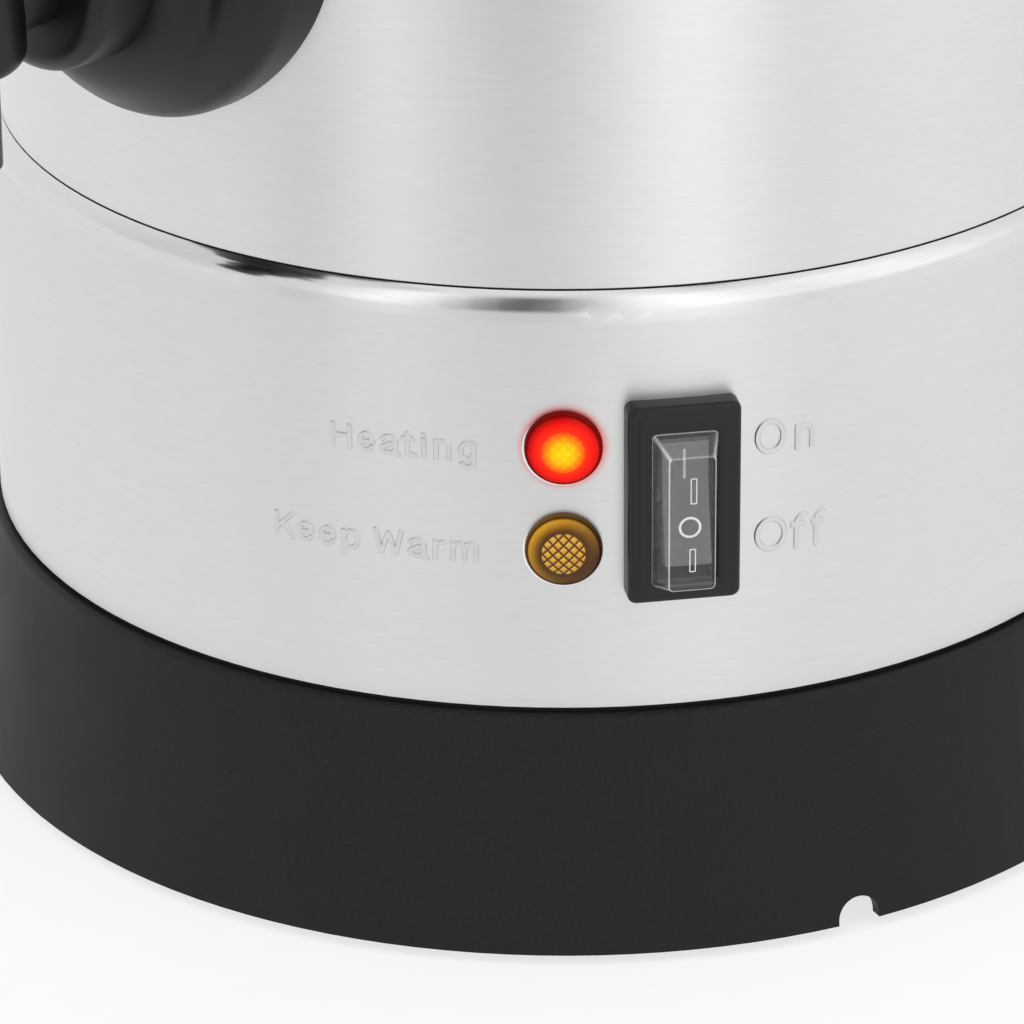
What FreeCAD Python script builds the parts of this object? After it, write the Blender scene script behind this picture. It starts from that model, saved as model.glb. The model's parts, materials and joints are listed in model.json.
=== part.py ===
import FreeCAD
import Part
import Sketcher
import math
import os
import re

# A coffee urn with a tap, a level gauge and a percolator set, in millimetres.
# The origin is on the urn's axis, on the surface that the feet stand on.
# The tap faces -Y, +X is on the right of someone looking at the tap's rear, +Z is up.

# Driving sizes: name, value, what it is
SIZES = [
    ("foot_drop", 2, "how far the rubber feet stand out under the base rim"),
    ("foot_radius", 8, "radius of a rubber foot"),
    ("foot_depth", 2, "how deep a foot sits in its boss"),
    ("foot_pitch", 105, "distance of the feet from the axis"),
    ("boss_wall", 1.5, "wall round a foot"),
    ("base_height", 46.7, "rim of the base up to the lower edge of the band"),
    ("base_flare", 6.8, "how much wider the base is at its rim than at its top"),
    ("base_lip", 1.5, "how far the top of the base stands out beyond the band"),
    ("base_wall", 2.5, "wall of the base"),
    ("base_gap", 1.0, "dark gap between the base and the band"),
    ("base_edge", 1.3, "rounding of the top edge of the base"),
    ("land_width", 0.6, "ledge that carries the lower edge of the band"),
    ("neck_height", 8, "collar of the base inside the band"),
    ("notch_width", 8.4, "width of a drain notch in the rim"),
    ("notch_height", 5, "height of a drain notch"),
    ("notch_angle", 70, "notches on either side, from the tap and from the rear"),
    ("shelf_height", 10, "underside of the inner shelf above the rim"),
    ("shelf_wall", 2.5, "thickness of the inner shelf"),
    ("shelf_width", 11, "overlap of the shelf and the bottom plate"),
    ("plate_radius", 95, "bottom plate"),
    ("plate_wall", 1.2, "thickness of the bottom plate"),
    ("screw_radius", 1.6, "shank of a bottom screw"),
    ("screw_head", 3.4, "head radius of a bottom screw"),
    ("screw_head_height", 2, "head of a bottom screw"),
    ("rod_radius", 2, "tie rod between the vessel and the bottom plate"),
    ("rod_pitch", 78, "distance of the tie rods from the axis"),
    ("rod_spare", 2, "rod beyond its nut"),
    ("nut_width", 7, "tie nut across its corners"),
    ("nut_height", 3.2, "height of a tie nut"),
    ("band_radius", 112, "outside of the lower stainless band"),
    ("band_height", 80.6, "lower edge of the band up to the seam"),
    ("band_wall", 1.2, "wall of the band"),
    ("shoulder_radius", 6.4, "rounding of the band's upper edge"),
    ("shoulder_step", 2.8, "band radius less the vessel radius"),
    ("ledge_width", 11, "inward ledge that carries the vessel"),
    ("seal_height", 0.3, "dark seal in the seam"),
    ("seal_inset", 0.5, "how far the seal stays inside the vessel's edge"),
    ("vessel_height", 240.3, "vessel from its floor to its rim"),
    ("vessel_wall", 1.2, "wall of the vessel"),
    ("vessel_corner", 0.6, "rounding at the foot of the vessel"),
    ("rim_width", 3, "rolled rim beyond the vessel wall"),
    ("rim_height", 5, "height of the rolled rim"),
    ("well_radius", 24, "pump well under the floor, outside"),
    ("well_depth", 10, "depth of the pump well"),
    ("heat_plate_radius", 62, "aluminium plate under the floor"),
    ("heat_plate_wall", 4, "thickness of the aluminium plate"),
    ("element_radius", 50, "centre line of the keep-warm element"),
    ("element_tube", 3.2, "tube radius of the keep-warm element"),
    ("pump_heater_height", 8, "heater under the pump well"),
    ("terminal_width", 5, "width of a push-on terminal"),
    ("terminal_length", 10, "length of a push-on terminal"),
    ("terminal_wall", 0.8, "thickness of a push-on terminal"),
    ("thermostat_radius", 8, "thermostat"),
    ("thermostat_height", 9, "height of the thermostat"),
    ("fuse_radius", 2, "thermal fuse"),
    ("fuse_length", 18, "length of the thermal fuse"),
    ("block_length", 40, "terminal block"),
    ("block_width", 16, "width of the terminal block"),
    ("block_height", 14, "height of the terminal block"),
    ("wire_radius", 1.2, "insulated wire"),
    ("wire_bend", 9, "bend radius of a wire"),
    ("wire_lead", 22, "straight lead of a wire before it turns"),
    ("lamp_angle", 43.1, "lamps, turned to the right from the tap"),
    ("red_lamp_rise", 51.8, "red lamp above the lower edge of the band"),
    ("amber_lamp_rise", 32, "amber lamp above the lower edge of the band"),
    ("lens_radius", 7, "rim of a lamp lens"),
    ("lens_rim", 1.1, "height of the straight rim of a lens"),
    ("lens_dome", 2.2, "dome above the rim of a lens"),
    ("lens_barrel", 5.8, "barrel of a lens through the band"),
    ("lens_depth", 9, "length of the barrel inside the band"),
    ("holder_wall", 1.2, "wall of the lamp holder round the barrel"),
    ("holder_depth", 18, "lamp holder behind the band"),
    ("switch_angle", 53.85, "switch, turned to the right from the tap"),
    ("switch_rise", 41.8, "switch centre above the lower edge of the band"),
    ("bezel_width", 20.5, "switch bezel"),
    ("bezel_height", 39, "height of the switch bezel"),
    ("bezel_depth", 4, "how far the bezel stands proud"),
    ("bezel_corner", 1.6, "rounded corners of the bezel"),
    ("bezel_frame", 2.9, "width of the frame round the clear cover"),
    ("switch_shell", 1.4, "bezel beyond the housing behind it, each side"),
    ("switch_depth", 26, "switch housing behind the band"),
    ("cover_flange", 1.1, "flange of the clear cover, and its thickness"),
    ("cover_rise", 4.2, "clear cover above the bezel"),
    ("cover_wall", 0.9, "wall of the clear cover"),
    ("cover_gap", 0.2, "play round the clear cover in the bezel"),
    ("rocker_gap", 0.4, "play between the rocker and the cover"),
    ("rocker_end_gap", 1.2, "play beyond the ends of the rocker"),
    ("rocker_face", 3.4, "rocker face above its axle, at the middle"),
    ("rocker_dish", 1.2, "how much higher the ends of the rocker are"),
    ("rocker_edge", 3.4, "height of the rocker's end faces"),
    ("rocker_tilt", 8, "tilt of the rocker to either side"),
    ("axle_radius", 1.2, "axle stubs of the rocker"),
    ("axle_depth", 1.4, "how deep the axle stubs sit in the housing"),
    ("inlet_rise", 27.3, "appliance inlet above the lower edge of the band"),
    ("inlet_width", 27, "inlet housing"),
    ("inlet_height", 20.4, "height of the inlet housing"),
    ("inlet_wall", 2, "wall of the inlet housing"),
    ("inlet_depth", 20, "inlet housing behind the band"),
    ("inlet_ear", 11.5, "screw ear on either side of the inlet"),
    ("inlet_brim", 1.8, "flange above and under the inlet"),
    ("inlet_proud", 2.4, "flange beyond the band"),
    ("pin_width", 2, "inlet pin"),
    ("pin_height", 4, "height of an inlet pin"),
    ("pin_spacing", 7, "middle pin to outer pin"),
    ("pin_offset", 2, "middle pin above, outer pins under the centre"),
    ("pin_short", 4, "pin ends inside the mouth of the inlet"),
    ("inlet_screw", 1.5, "shank of an inlet screw"),
    ("inlet_screw_head", 2.8, "head of an inlet screw"),
    ("tap_rise", 57.7, "tap axis above the seam"),
    ("rosette_rise", 6.7, "centre of the tap shield above the tap axis"),
    ("rosette_radius", 41, "tap shield"),
    ("rosette_depth", 10, "front of the shield beyond the vessel"),
    ("rosette_edge", 9, "rounding of the shield's front edge"),
    ("dome_radius", 29.5, "raised middle of the shield"),
    ("dome_depth", 15.5, "front of the raised middle beyond the vessel"),
    ("dome_edge", 6.5, "rounding of the raised middle"),
    ("shank_radius", 8, "threaded shank of the tap"),
    ("shank_reach", 9, "shank inside the vessel"),
    ("tap_bore", 5, "water way of the tap"),
    ("tap_seal_radius", 15, "seals on the shank"),
    ("tap_seal_wall", 2.4, "thickness of a seal at its middle"),
    ("tap_nut_width", 29, "tap nut across its corners"),
    ("tap_nut_height", 5, "height of the tap nut"),
    ("barrel_radius", 20, "thick part of the tap body"),
    ("barrel_depth", 28, "front of the thick part beyond the vessel"),
    ("barrel_edge", 4, "rounding of the thick part"),
    ("tap_reach", 46, "spout axis beyond the vessel"),
    ("arm_radius", 11, "tap body between barrel and valve chamber"),
    ("chamber_radius", 14, "valve chamber, outside"),
    ("chamber_bore", 9, "valve chamber, inside"),
    ("chamber_top", 18, "valve chamber above the tap axis"),
    ("chamber_drop", 14, "valve chamber under the tap axis"),
    ("seat_drop", 8, "valve seat under the tap axis"),
    ("spout_radius", 9, "spout, outside"),
    ("spout_bore", 5.5, "spout, inside"),
    ("spout_drop", 32, "spout end under the tap axis"),
    ("seat_bore", 4.5, "narrower way through the valve seat"),
    ("seat_wall", 5, "length of that narrower way"),
    ("stem_radius", 3, "valve stem"),
    ("disc_radius", 7.5, "valve disc and its silicone seal"),
    ("disc_height", 2.5, "thickness of the valve disc"),
    ("valve_seal_height", 3, "thickness of the valve seal"),
    ("bonnet_radius", 15.5, "cap of the valve chamber"),
    ("bonnet_height", 8, "height of the cap"),
    ("bonnet_plug", 4, "cap inside the chamber"),
    ("ear_wall", 2.6, "ears that hold the lever pin"),
    ("ear_length", 10, "length of the ears"),
    ("ear_gap", 0.3, "play between the lever and the ears"),
    ("pin_lift", 5.6, "lever pin above the cap"),
    ("lever_pin_radius", 1.5, "lever pin"),
    ("lever_offset", 8, "lever pin in front of the valve stem"),
    ("lever_width", 12, "width of the lever"),
    ("lever_length", 48, "lever in front of its pin"),
    ("lever_hub", 4.2, "half height of the lever at its pin"),
    ("lever_rise", 13, "lower side of the lever's end above the pin"),
    ("lever_wall", 5.5, "thickness of the lever's end"),
    ("cross_pin_radius", 1.2, "cross pin of the valve stem"),
    ("cross_pin_play", 0.6, "play of the cross pin in the lever's slot"),
    ("valve_lift", 3.5, "travel of the valve stem"),
    ("spring_radius", 5.2, "valve spring, outside"),
    ("spring_wire", 0.9, "valve spring, wall"),
    ("gauge_reach", 17, "level gauge beyond the vessel"),
    ("gauge_boss", 10, "radius of the gauge's lower and upper sockets"),
    ("gauge_boss_rise", 28, "top of the lower socket above the tap axis"),
    ("gauge_socket", 12, "depth of a gauge socket"),
    ("gauge_drop", 5.9, "upper gauge bracket under the rolled rim"),
    ("gauge_radius", 6, "gauge tube"),
    ("gauge_wall", 1, "wall of the gauge tube"),
    ("gauge_seal", 1.5, "height of a gauge seal"),
    ("gauge_port", 3, "water way into the gauge"),
    ("guard_gap", 1.8, "guard beyond the gauge tube"),
    ("guard_wall", 1.2, "wall of the gauge guard"),
    ("cap_height", 16, "upper gauge bracket"),
    ("cap_width", 16, "width of the upper gauge bracket"),
    ("handle_drop", 49.9, "centre of the side handles under the vessel's rim"),
    ("handle_width", 116, "side handle along the body"),
    ("handle_height", 20, "height of a side handle"),
    ("handle_reach", 42, "side handle beyond the vessel"),
    ("handle_bar", 13, "thickness of the grip"),
    ("handle_foot", 16, "thickness of a handle foot"),
    ("handle_corner", 18, "outer corners of a handle"),
    ("handle_inner_corner", 8, "inner corners of a handle"),
    ("handle_screw_angle", 26.5, "screws on either side of a handle's middle"),
    ("wall_screw_radius", 2, "screws through the vessel wall"),
    ("wall_screw_head", 4, "head radius of those screws"),
    ("wall_screw_head_height", 2.2, "head of those screws"),
    ("wall_screw_length", 12, "those screws beyond the vessel wall"),
    ("wall_washer_radius", 5.5, "silicone washer under those heads"),
    ("wall_washer_height", 1.2, "thickness of those washers"),
    ("lid_wall", 1, "wall of the lid"),
    ("lid_gap", 1.5, "play of the lid's skirt in the vessel"),
    ("lid_skirt", 12, "depth of the lid's skirt"),
    ("lid_brim", 0.6, "lid brim inside the rolled rim's edge"),
    ("lid_dome", 24, "height of the lid"),
    ("vent_radius", 1.5, "steam vent in the lid"),
    ("vent_pitch", 38, "distance of the vents from the axis"),
    ("knob_radius", 21, "lid knob"),
    ("knob_base", 12, "foot of the lid knob"),
    ("knob_neck", 8, "neck of the lid knob"),
    ("knob_neck_height", 9, "height of the knob's neck"),
    ("knob_height", 27, "height of the lid knob"),
    ("knob_edge", 4, "rounding of the lid knob"),
    ("knob_screw_radius", 2.4, "knob screw"),
    ("knob_screw_head", 5, "head radius of the knob screw"),
    ("knob_screw_length", 13, "knob screw inside the knob"),
    ("pump_tube_radius", 5.5, "percolator tube"),
    ("pump_tube_wall", 0.8, "wall of the percolator tube"),
    ("pump_tube_clear", 6, "percolator tube under the lid's dome"),
    ("pump_foot_height", 7, "foot of the percolator tube"),
    ("pump_foot_gap", 1.6, "play of the foot in the well"),
    ("collar_radius", 11, "collar that carries the basket"),
    ("collar_height", 3, "height of that collar"),
    ("basket_radius", 78, "brew basket"),
    ("basket_height", 62, "height of the brew basket"),
    ("basket_drop", 20, "top of the basket under the vessel's rim"),
    ("basket_wall", 0.9, "wall of the basket"),
    ("sleeve_gap", 0.8, "play between the basket sleeve and the tube"),
    ("sleeve_height", 30, "sleeve in the middle of the basket"),
    ("hole_radius", 1.6, "hole in the basket and in the spreader"),
    ("spreader_lip", 1.5, "spreader beyond the basket"),
    ("spreader_wall", 1.2, "thickness of the spreader"),
    ("fit_gap", 0.05, "running play between a pin and its hole"),
    ("seat_gap", 0.05, "gap between a fitted piece and a rounded wall"),
    ("slip_gap", 0.3, "play of a fixed piece in its opening"),
]

doc = FreeCAD.newDocument("CoffeeUrn")
sheet = doc.addObject("Spreadsheet::Sheet", "Sizes")
for row, (name, value, note) in enumerate(SIZES, start=1):
    sheet.set("A%d" % row, name)
    sheet.set("B%d" % row, str(value))
    sheet.setAlias("B%d" % row, name)
    sheet.set("C%d" % row, note)
doc.recompute()

NAMES = {name for name, value, note in SIZES}
NODES = []

# Heights above the resting surface, and radii, that follow from the driving sizes
BAND_Z = "(foot_drop + base_height)"
SEAM_Z = "(foot_drop + base_height + band_height)"
FLOOR_Z = "(foot_drop + base_height + band_height + seal_height)"
RIM_Z = "(foot_drop + base_height + band_height + seal_height + vessel_height)"
SHELF_Z = "(foot_drop + shelf_height)"
TAP_Z = "(foot_drop + base_height + band_height + tap_rise)"
HANDLE_Z = "(%s - handle_drop)" % RIM_Z
BODY = "(band_radius - shoulder_step)"
INSIDE = "(band_radius - shoulder_step - vessel_wall)"
BASE_TOP = "(band_radius + base_lip)"
BASE_RIM = "(band_radius + base_lip + base_flare)"
SPOUT_Y = "(band_radius - shoulder_step + tap_reach)"
GAUGE_Y = "(band_radius - shoulder_step + gauge_reach)"
GAUGE_LOW_Z = "(%s + gauge_boss_rise)" % TAP_Z
GAUGE_TOP_Z = "(%s - rim_height - gauge_drop - cap_height)" % RIM_Z
CAP_Z = "(%s + chamber_top)" % TAP_Z
PIN_Z = "(%s + chamber_top + bonnet_height + pin_lift)" % TAP_Z
BASKET_Z = ("(foot_drop + base_height + band_height + seal_height + vessel_height"
            " - basket_drop - basket_height)")


def link(text):
    """An expression in which every size name points at the sheet."""
    def point(match):
        word = match.group()
        return "Sizes." + word if word in NAMES else word
    return re.sub(r"[a-z][a-z_]*", point, text)


def size(text):
    """The number that an expression of size names gives."""
    return float(sheet.evalExpression(link(text)))


def place(obj, at=("0", "0", "0"), turn="rotationz(0)"):
    """Ties the Placement of an object to the sheet."""
    text = "placement(vector(%s; %s; %s); %s)" % (at[0], at[1], at[2], turn)
    obj.setExpression("Placement", link(text))
    return obj


def facing(angle, height):
    """Placement of a piece on the wall: its Z points out, its Y up, its X along the wall."""
    return (("0", "0", height), "rotationz(%s) * rotationx(90)" % angle)


def primitive(kind, sizes, at=("0", "0", "0"), turn="rotationz(0)"):
    """A Part primitive whose sizes follow the sheet."""
    obj = doc.addObject("Part::" + kind, kind.lower())
    for prop, text in sizes.items():
        obj.setExpression(prop, link(text))
    return place(obj, at, turn)


def rod(radius, length, at=("0", "0", "0"), turn="rotationz(0)"):
    """A cylinder that starts at a point and runs along its own Z."""
    return primitive("Cylinder", {"Radius": radius, "Height": length}, at, turn)


def block(width, height, depth, at=("0", "0", "0")):
    """A box centred on X and Y that runs from a point along Z."""
    corner = ("%s - (%s) / 2" % (at[0], width), "%s - (%s) / 2" % (at[1], height), at[2])
    return primitive("Box", {"Length": width, "Width": height, "Height": depth}, corner)


def hexagon(width, height, at=("0", "0", "0"), turn="rotationz(0)"):
    """A six-sided prism, given by its width across corners."""
    obj = primitive("Prism", {"Circumradius": "(%s) / 2" % width, "Height": height}, at, turn)
    obj.Polygon = 6
    return obj


def join(pieces, name="joined"):
    """One solid made of pieces that overlap."""
    obj = doc.addObject("Part::MultiFuse", name)
    obj.Shapes = pieces
    obj.Refine = True
    return obj


def cut(base, tool, name="cut"):
    """A piece less one tool or a list of tools."""
    if isinstance(tool, list):
        tool = tool[0] if len(tool) == 1 else group(tool)
    obj = doc.addObject("Part::Cut", name)
    obj.Base = base
    obj.Tool = tool
    return obj


def group(pieces, name="group"):
    """Several solids in one shape."""
    obj = doc.addObject("Part::Compound", name)
    obj.Links = pieces
    return obj


def round_off(base, radius, wanted, name="rounded"):
    """A piece with the edges that the test picks rounded by one radius."""
    doc.recompute()
    value = size(radius)
    picked = []
    for number, edge in enumerate(base.Shape.Edges, start=1):
        if wanted(edge):
            picked.append((number, value, value))
    if not picked:
        raise ValueError("no edge to round on " + base.Label)
    obj = doc.addObject("Part::Fillet", name)
    obj.Base = base
    obj.Edges = picked
    return obj


def flat_at(height):
    """Picks the round edges that lie at one height of a piece."""
    def wanted(edge):
        box = edge.BoundBox
        return abs(box.ZMin - height) < 1e-4 and abs(box.ZMax - height) < 1e-4
    return wanted


def plane_of(body, role):
    """One of a body's own origin planes."""
    return [item for item in body.Origin.OriginFeatures if item.Role == role][0]


def arc_middle(start, end, radius, side):
    """The middle of the shorter arc between two points, bulging to the given side."""
    chord = end - start
    half = chord.Length / 2
    sag = radius - math.sqrt(radius * radius - half * half)
    normal = FreeCAD.Vector(-chord.y, chord.x, 0).normalize()
    return (start + end) * 0.5 + normal * (sag * side)


def outline(body, name, role, points, offset=None):
    """A closed sketch on a body's own plane, every corner tied to the sheet.

    A point is (across, up). With two more entries, a radius and a side, the edge that
    arrives at the point is an arc that bulges to that side.
    """
    sketch = body.newObject("Sketcher::SketchObject", name)
    sketch.AttachmentSupport = [(plane_of(body, role), "")]
    sketch.MapMode = "FlatFace"
    if offset:
        sketch.setExpression("AttachmentOffset.Base.z", link(offset))
    corners = [FreeCAD.Vector(size(p[0]), size(p[1]), 0) for p in points]
    count = len(points)
    starts = []
    ends = []
    for i in range(count):
        start = corners[i]
        end = corners[(i + 1) % count]
        arrive = points[(i + 1) % count]
        if len(arrive) == 4:
            middle = arc_middle(start, end, size(arrive[2]), arrive[3])
            edge = Part.Arc(start, middle, end)
        else:
            edge = Part.LineSegment(start, end)
        number = sketch.addGeometry(edge, False)
        straight = (sketch.getPoint(number, 1) - start).Length < 1e-6
        starts.append((number, 1 if straight else 2))
        ends.append((number, 2 if straight else 1))
        if len(arrive) == 4:
            held = sketch.addConstraint(Sketcher.Constraint("Radius", number, size(arrive[2])))
            sketch.setExpression("Constraints[%d]" % held, link(arrive[2]))
    for i in range(count):
        after = starts[(i + 1) % count]
        sketch.addConstraint(Sketcher.Constraint("Coincident", *ends[i], *after))
    for (number, end), point, corner in zip(starts, points, corners):
        for kind, text, value, axis in (("DistanceX", point[0], corner.x, -2),
                                        ("DistanceY", point[1], corner.y, -1)):
            if text == "0":
                sketch.addConstraint(Sketcher.Constraint("PointOnObject", number, end, axis))
                continue
            held = sketch.addConstraint(Sketcher.Constraint(kind, -1, 1, number, end, value))
            sketch.setExpression("Constraints[%d]" % held, link(text))
    return sketch


def turned(name, points):
    """A body turned about Z from a profile given as (radius, height) points."""
    body = doc.addObject("PartDesign::Body", name)
    sketch = outline(body, name + "_profile", "XZ_Plane", points)
    turn = body.newObject("PartDesign::Revolution", name + "_turn")
    turn.Profile = sketch
    turn.ReferenceAxis = (sketch, ["V_Axis"])
    turn.Angle = 360
    return body


def plate(name, points, thickness, role="YZ_Plane"):
    """A body padded from a side view, centred on its plane."""
    body = doc.addObject("PartDesign::Body", name)
    sketch = outline(body, name + "_profile", role, points, "-(%s) / 2" % thickness)
    pad = body.newObject("PartDesign::Pad", name + "_pad")
    pad.Profile = sketch
    pad.setExpression("Length", link(thickness))
    return body


def soften(body, corners, radius, name):
    """Rounds a turned body's circles, given as (radius, height) corners, by one radius."""
    doc.recompute()
    targets = [(size(across), size(up)) for across, up in corners]
    base = body.Tip
    picked = []
    for number, edge in enumerate(base.Shape.Edges, start=1):
        curve = edge.Curve
        if not hasattr(curve, "Radius") or not hasattr(curve, "Center"):
            continue
        flat = edge.BoundBox.ZMax - edge.BoundBox.ZMin < 1e-5
        for across, up in targets:
            near = abs(curve.Radius - across) < 1e-4 and abs(curve.Center.z - up) < 1e-4
            if flat and near:
                picked.append("Edge%d" % number)
    if len(picked) < len(targets):
        raise ValueError("an edge to round is missing on " + body.Label)
    fillet = body.newObject("PartDesign::Fillet", name)
    fillet.Base = (base, picked)
    fillet.setExpression("Radius", link(radius))
    body.Tip = fillet
    return body


def wall_drum(radius):
    """An upright cylinder about the urn's axis, to shape the back of a fitted piece."""
    return rod(radius, "%s * 2" % RIM_Z, ("0", "0", "-%s / 2" % RIM_Z))


def node(obj, label):
    """Marks an object as one piece of the urn."""
    obj.Label = label
    NODES.append(obj)
    return obj


def around(angles, make):
    """One copy of a piece for each angle about the urn's axis."""
    return group([make(angle) for angle in angles])


def upright_rod(radius, length, pitch, angle, height):
    """A vertical cylinder at a distance from the axis, counted from the tap."""
    at = ("(%s) * sin(%s)" % (pitch, angle), "-(%s) * cos(%s)" % (pitch, angle), height)
    return rod(radius, length, at)


def wall_rod(radius, start, length, angle, height):
    """A cylinder square to the wall, from one distance from the axis outwards."""
    at = ("(%s) * sin(%s)" % (start, angle), "-(%s) * cos(%s)" % (start, angle), height)
    return rod(radius, length, at, "rotationz(%s) * rotationx(90)" % angle)


FOOT_ANGLES = ["45", "135", "225", "315"]
SCREW_ANGLES = ["0", "90", "180", "270"]
ROD_ANGLES = ["100", "220", "340"]
NOTCH_ANGLES = ["notch_angle", "180 - notch_angle", "180 + notch_angle", "-notch_angle"]
HANDLE_SCREW_ANGLES = ["90 - handle_screw_angle", "90 + handle_screw_angle",
                       "-90 - handle_screw_angle", "-90 + handle_screw_angle"]


# Base and bottom

def inner_flare(height):
    """Inside radius of the base's slanted wall at a height above the rim."""
    return ("(%s - base_wall - base_flare * (%s) / (base_height - base_gap - base_wall))"
            % (BASE_RIM, height))


def make_base():
    top = "%s - base_gap" % BAND_Z
    collar = "band_radius - band_wall - slip_gap"
    land = "band_radius - band_wall + land_width"
    body = turned("base_shell", [
        ("%s - base_wall" % BASE_RIM, "foot_drop"),
        (BASE_RIM, "foot_drop"),
        (BASE_TOP, top),
        (land, top),
        (land, BAND_Z),
        (collar, BAND_Z),
        (collar, "%s + neck_height" % BAND_Z),
        ("%s - base_wall" % collar, "%s + neck_height" % BAND_Z),
        ("%s - base_wall" % collar, "%s - base_wall" % top),
        ("%s - base_wall" % BASE_TOP, "%s - base_wall" % top),
        (inner_flare("shelf_height + shelf_wall"), "%s + shelf_wall" % SHELF_Z),
        ("plate_radius - shelf_width", "%s + shelf_wall" % SHELF_Z),
        ("plate_radius - shelf_width", SHELF_Z),
        (inner_flare("shelf_height"), SHELF_Z),
    ])
    soften(body, [(BASE_TOP, top)], "base_edge", "base_top_edge")
    bosses = [upright_rod("foot_radius + boss_wall", "shelf_height + shelf_wall / 2",
                          "foot_pitch", angle, "foot_drop") for angle in FOOT_ANGLES]
    whole = join([body] + bosses)
    recesses = around(FOOT_ANGLES, lambda angle: upright_rod(
        "foot_radius + fit_gap", "foot_depth * 2", "foot_pitch", angle,
        "foot_drop - foot_depth"))
    tools = [recesses, around(NOTCH_ANGLES, make_notch), screw_holes("fit_gap")]
    node(cut(whole, tools), "base_ring")


def make_notch(angle):
    """The space of one arched notch through the rim."""
    reach = "base_wall * 4 + base_flare"
    start = "%s - base_wall * 2 - base_flare / 2" % BASE_RIM
    height = "foot_drop + notch_height - notch_width / 2"
    arch = wall_rod("notch_width / 2", start, reach, angle, height)
    legs = primitive("Box", {"Length": "notch_width", "Width": "notch_height",
                             "Height": reach},
                     ("-notch_width / 2", "-notch_height", start))
    placed = place(group([legs]), ("0", "0", height),
                   "rotationz(%s) * rotationx(90)" % angle)
    return join([arch, placed])


def screw_holes(play):
    """Holes for the bottom screws through the plate and the shelf."""
    return around(SCREW_ANGLES, lambda angle: upright_rod(
        "screw_radius + %s" % play, "plate_wall * 4 + shelf_wall * 2",
        "plate_radius - shelf_width / 2", angle, "%s - plate_wall * 3" % SHELF_Z))


def make_feet():
    feet = [upright_rod("foot_radius", "foot_drop + foot_depth", "foot_pitch", angle, "0")
            for angle in FOOT_ANGLES]
    node(group(feet), "rubber_feet")


def make_bottom():
    disc = rod("plate_radius", "plate_wall", ("0", "0", "%s - plate_wall" % SHELF_Z))
    rods = around(ROD_ANGLES, lambda angle: upright_rod(
        "rod_radius + slip_gap", "plate_wall * 3", "rod_pitch", angle,
        "%s - plate_wall * 2" % SHELF_Z))
    vents = []
    for pitch in ("rod_pitch * 0.35", "rod_pitch * 0.5", "rod_pitch * 0.65"):
        for step in range(12):
            vents.append(upright_rod("screw_radius", "plate_wall * 3", pitch,
                                     str(step * 30), "%s - plate_wall * 2" % SHELF_Z))
    node(cut(disc, [rods, screw_holes("slip_gap"), group(vents)]), "bottom_plate")
    under = "%s - plate_wall" % SHELF_Z
    screws = []
    for angle in SCREW_ANGLES:
        pitch = "(plate_radius - shelf_width / 2)"
        head = upright_rod("screw_head", "screw_head_height", pitch, angle,
                           "%s - screw_head_height" % under)
        shank = upright_rod("screw_radius", "plate_wall + shelf_wall + screw_head_height",
                            pitch, angle, "%s - screw_head_height / 2" % under)
        screws.append(join([head, shank]))
    node(group(screws), "bottom_screws")


def make_ties():
    under = "(%s - plate_wall)" % SHELF_Z
    low = "(%s - nut_height - rod_spare)" % under
    rods = [upright_rod("rod_radius", "%s - %s" % (FLOOR_Z, low), "rod_pitch", angle, low)
            for angle in ROD_ANGLES]
    node(group(rods), "tie_rods")
    nuts = []
    for angle in ROD_ANGLES:
        at = ("rod_pitch * sin(%s)" % angle, "-rod_pitch * cos(%s)" % angle,
              "%s - nut_height" % under)
        blank = hexagon("nut_width", "nut_height", at)
        hole = upright_rod("rod_radius + fit_gap", "nut_height * 3", "rod_pitch", angle,
                           "%s - nut_height * 2" % under)
        nuts.append(cut(blank, hole))
    node(group(nuts), "tie_nuts")


# Lower stainless band and vessel

def switch_block(play, back, front):
    """A box as wide as the switch housing, from one radius to another."""
    across = "bezel_width - switch_shell * 2 + %s * 2" % play
    tall = "bezel_height - switch_shell * 2 + %s * 2" % play
    return block(across, tall, "(%s) - (%s)" % (front, back), ("0", "0", back))


def at_switch(obj):
    """Puts a piece at the switch's place on the wall."""
    return place(obj, *facing("switch_angle", "%s + switch_rise" % BAND_Z))


def at_inlet(obj):
    """Puts a piece at the appliance inlet's place on the rear wall."""
    return place(obj, *facing("180", "%s + inlet_rise" % BAND_Z))


def inlet_screw_holes(play):
    """Holes for the two inlet screws, in the inlet's own frame."""
    across = "inlet_width / 2 + inlet_ear / 2"
    return [rod("inlet_screw + %s" % play, "inlet_proud * 8", (side + "(" + across + ")", "0",
                "band_radius - inlet_proud * 4")) for side in ("", "-")]


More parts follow.
